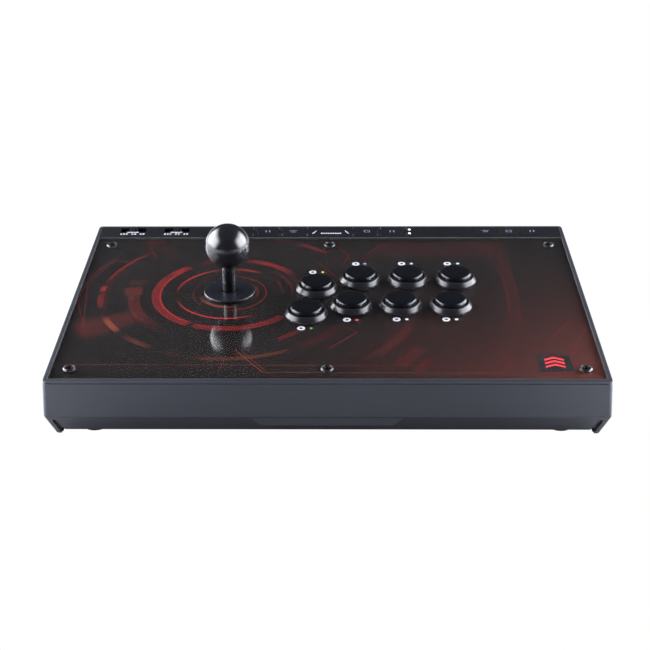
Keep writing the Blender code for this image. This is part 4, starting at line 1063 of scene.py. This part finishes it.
ticks = []
for node in numbered("strip_key", 4):
    key_low, key_high = panel_box(node)
    for u in (key_low.x - 0.6, key_high.x + 0.6):
        ticks.append(upright_bar(u, key_high.y - 1.4, TICK_LENGTH, TICK_WIDTH))
        ticks.append(upright_bar(u, key_low.y + 1.4, TICK_LENGTH, TICK_WIDTH))
dashes = [upright_bar(-7.0 + 2.0 * step, 247.6, 2.2, 1.3) for step in range(9)]
slashes = [upright_bar(-13.2, 250.0, 6.4, 0.9, 3.4), upright_bar(14.6, 250.0, 6.4, 0.9, -3.4)]
print_on("strip_ticks", ticks, icon_ink, strip_w, "root", "strip")
print_on("strip_dashes", dashes + slashes, pale_ink, strip_w, "root", "strip")
for index in (1, 2):
    slot_u = panel_centre(f"slide_knob_{index}").x
    marks = [upright_bar(slot_u + 2.4 * step, 246.4, 2.4, 1.5) for step in (-4, -3, -2, 0, 1, 3, 4)]
    marks.append(upright_bar(slot_u, 250.0, 1.6, 10.0))
    print_on(f"slider_marks_{index}", marks, pale_ink, strip_w, "root", "strip")


def key_icon(kind, u, v):
    """One of three plain marks: an open square, a pair of bars, or a dash over a dot."""
    if kind == 0:
        sides = [upright_bar(u + side * 2.2, v, 4.4, 0.7) for side in (-1, 1)]
        return sides + [upright_bar(u, v + side * 1.85, 0.7, 3.7) for side in (-1, 1)]
    if kind == 1:
        return [upright_bar(u + side * 1.5, v, 3.8, 1.1) for side in (-1, 1)]
    return [upright_bar(u, v + 1.1, 1.0, 6.4), upright_bar(u, v - 1.3, 1.0, 4.0)]


for index, node in enumerate(STRIP_KEYS):
    key_centre = panel_centre(node)
    key_top = panel_box(node)[1].z
    icon = key_icon((index + 1) % 3, key_centre.x, key_centre.y)
    print_on(node + "_icon", icon, icon_ink, key_top + 0.02, node, "key")


def glowing(name, colour, strength):
    """A lit light guide, its glow flecked toward white by a fine noise."""
    material, tree, surface = blank_material(name)
    glow = blend(tree, noise(tree, object_place(tree), 900.0, 2.0), (*colour, 1), (1, 1, 1, 1))
    shader = add(tree, "ShaderNodeBsdfPrincipled", {
        "Base Color": glow, "Roughness": 0.3, "Emission Color": glow, "Emission Strength": strength})
    tree.links.new(shader.outputs[0], surface)
    return material


dress(glowing("light_guide", (0.85, 0.88, 0.92), 1.0), "status_light")

# ---------------------------------------------------------------- boards and wiring
# Two green circuit boards, a small switch board under the lever, and the bundled
# harnesses that join them to the buttons and lever.


def solder_mask(name):
    """Green lacquer over copper tracks, which show as paler lines in two directions."""
    material, tree, surface = blank_material(name)
    place = object_place(tree)
    tracks = add(tree, "ShaderNodeTexBrick", {
        "Vector": place, "Color1": (0.010, 0.075, 0.035, 1), "Color2": (0.014, 0.095, 0.045, 1),
        "Mortar": (0.03, 0.17, 0.08, 1), "Scale": 160.0, "Mortar Size": 0.03})
    haze = noise(tree, place, 60.0, 4.0)
    finish_surface(tree, surface, tracks.outputs["Fac"], 0.3, 0.0001, {
        "Base Color": tracks.outputs["Color"], "Roughness": maths(tree, "MULTIPLY_ADD", haze, 0.25, 0.25)})
    return material


dress(solder_mask("solder_mask"), "main_board", "strip_board", "lever_switch_board")
dress(moulded_plastic("wire_sleeve", (0.020, 0.020, 0.022), 0.5, pebbles=420.0, depth=0.5),
      "button_harness", "lever_harness")
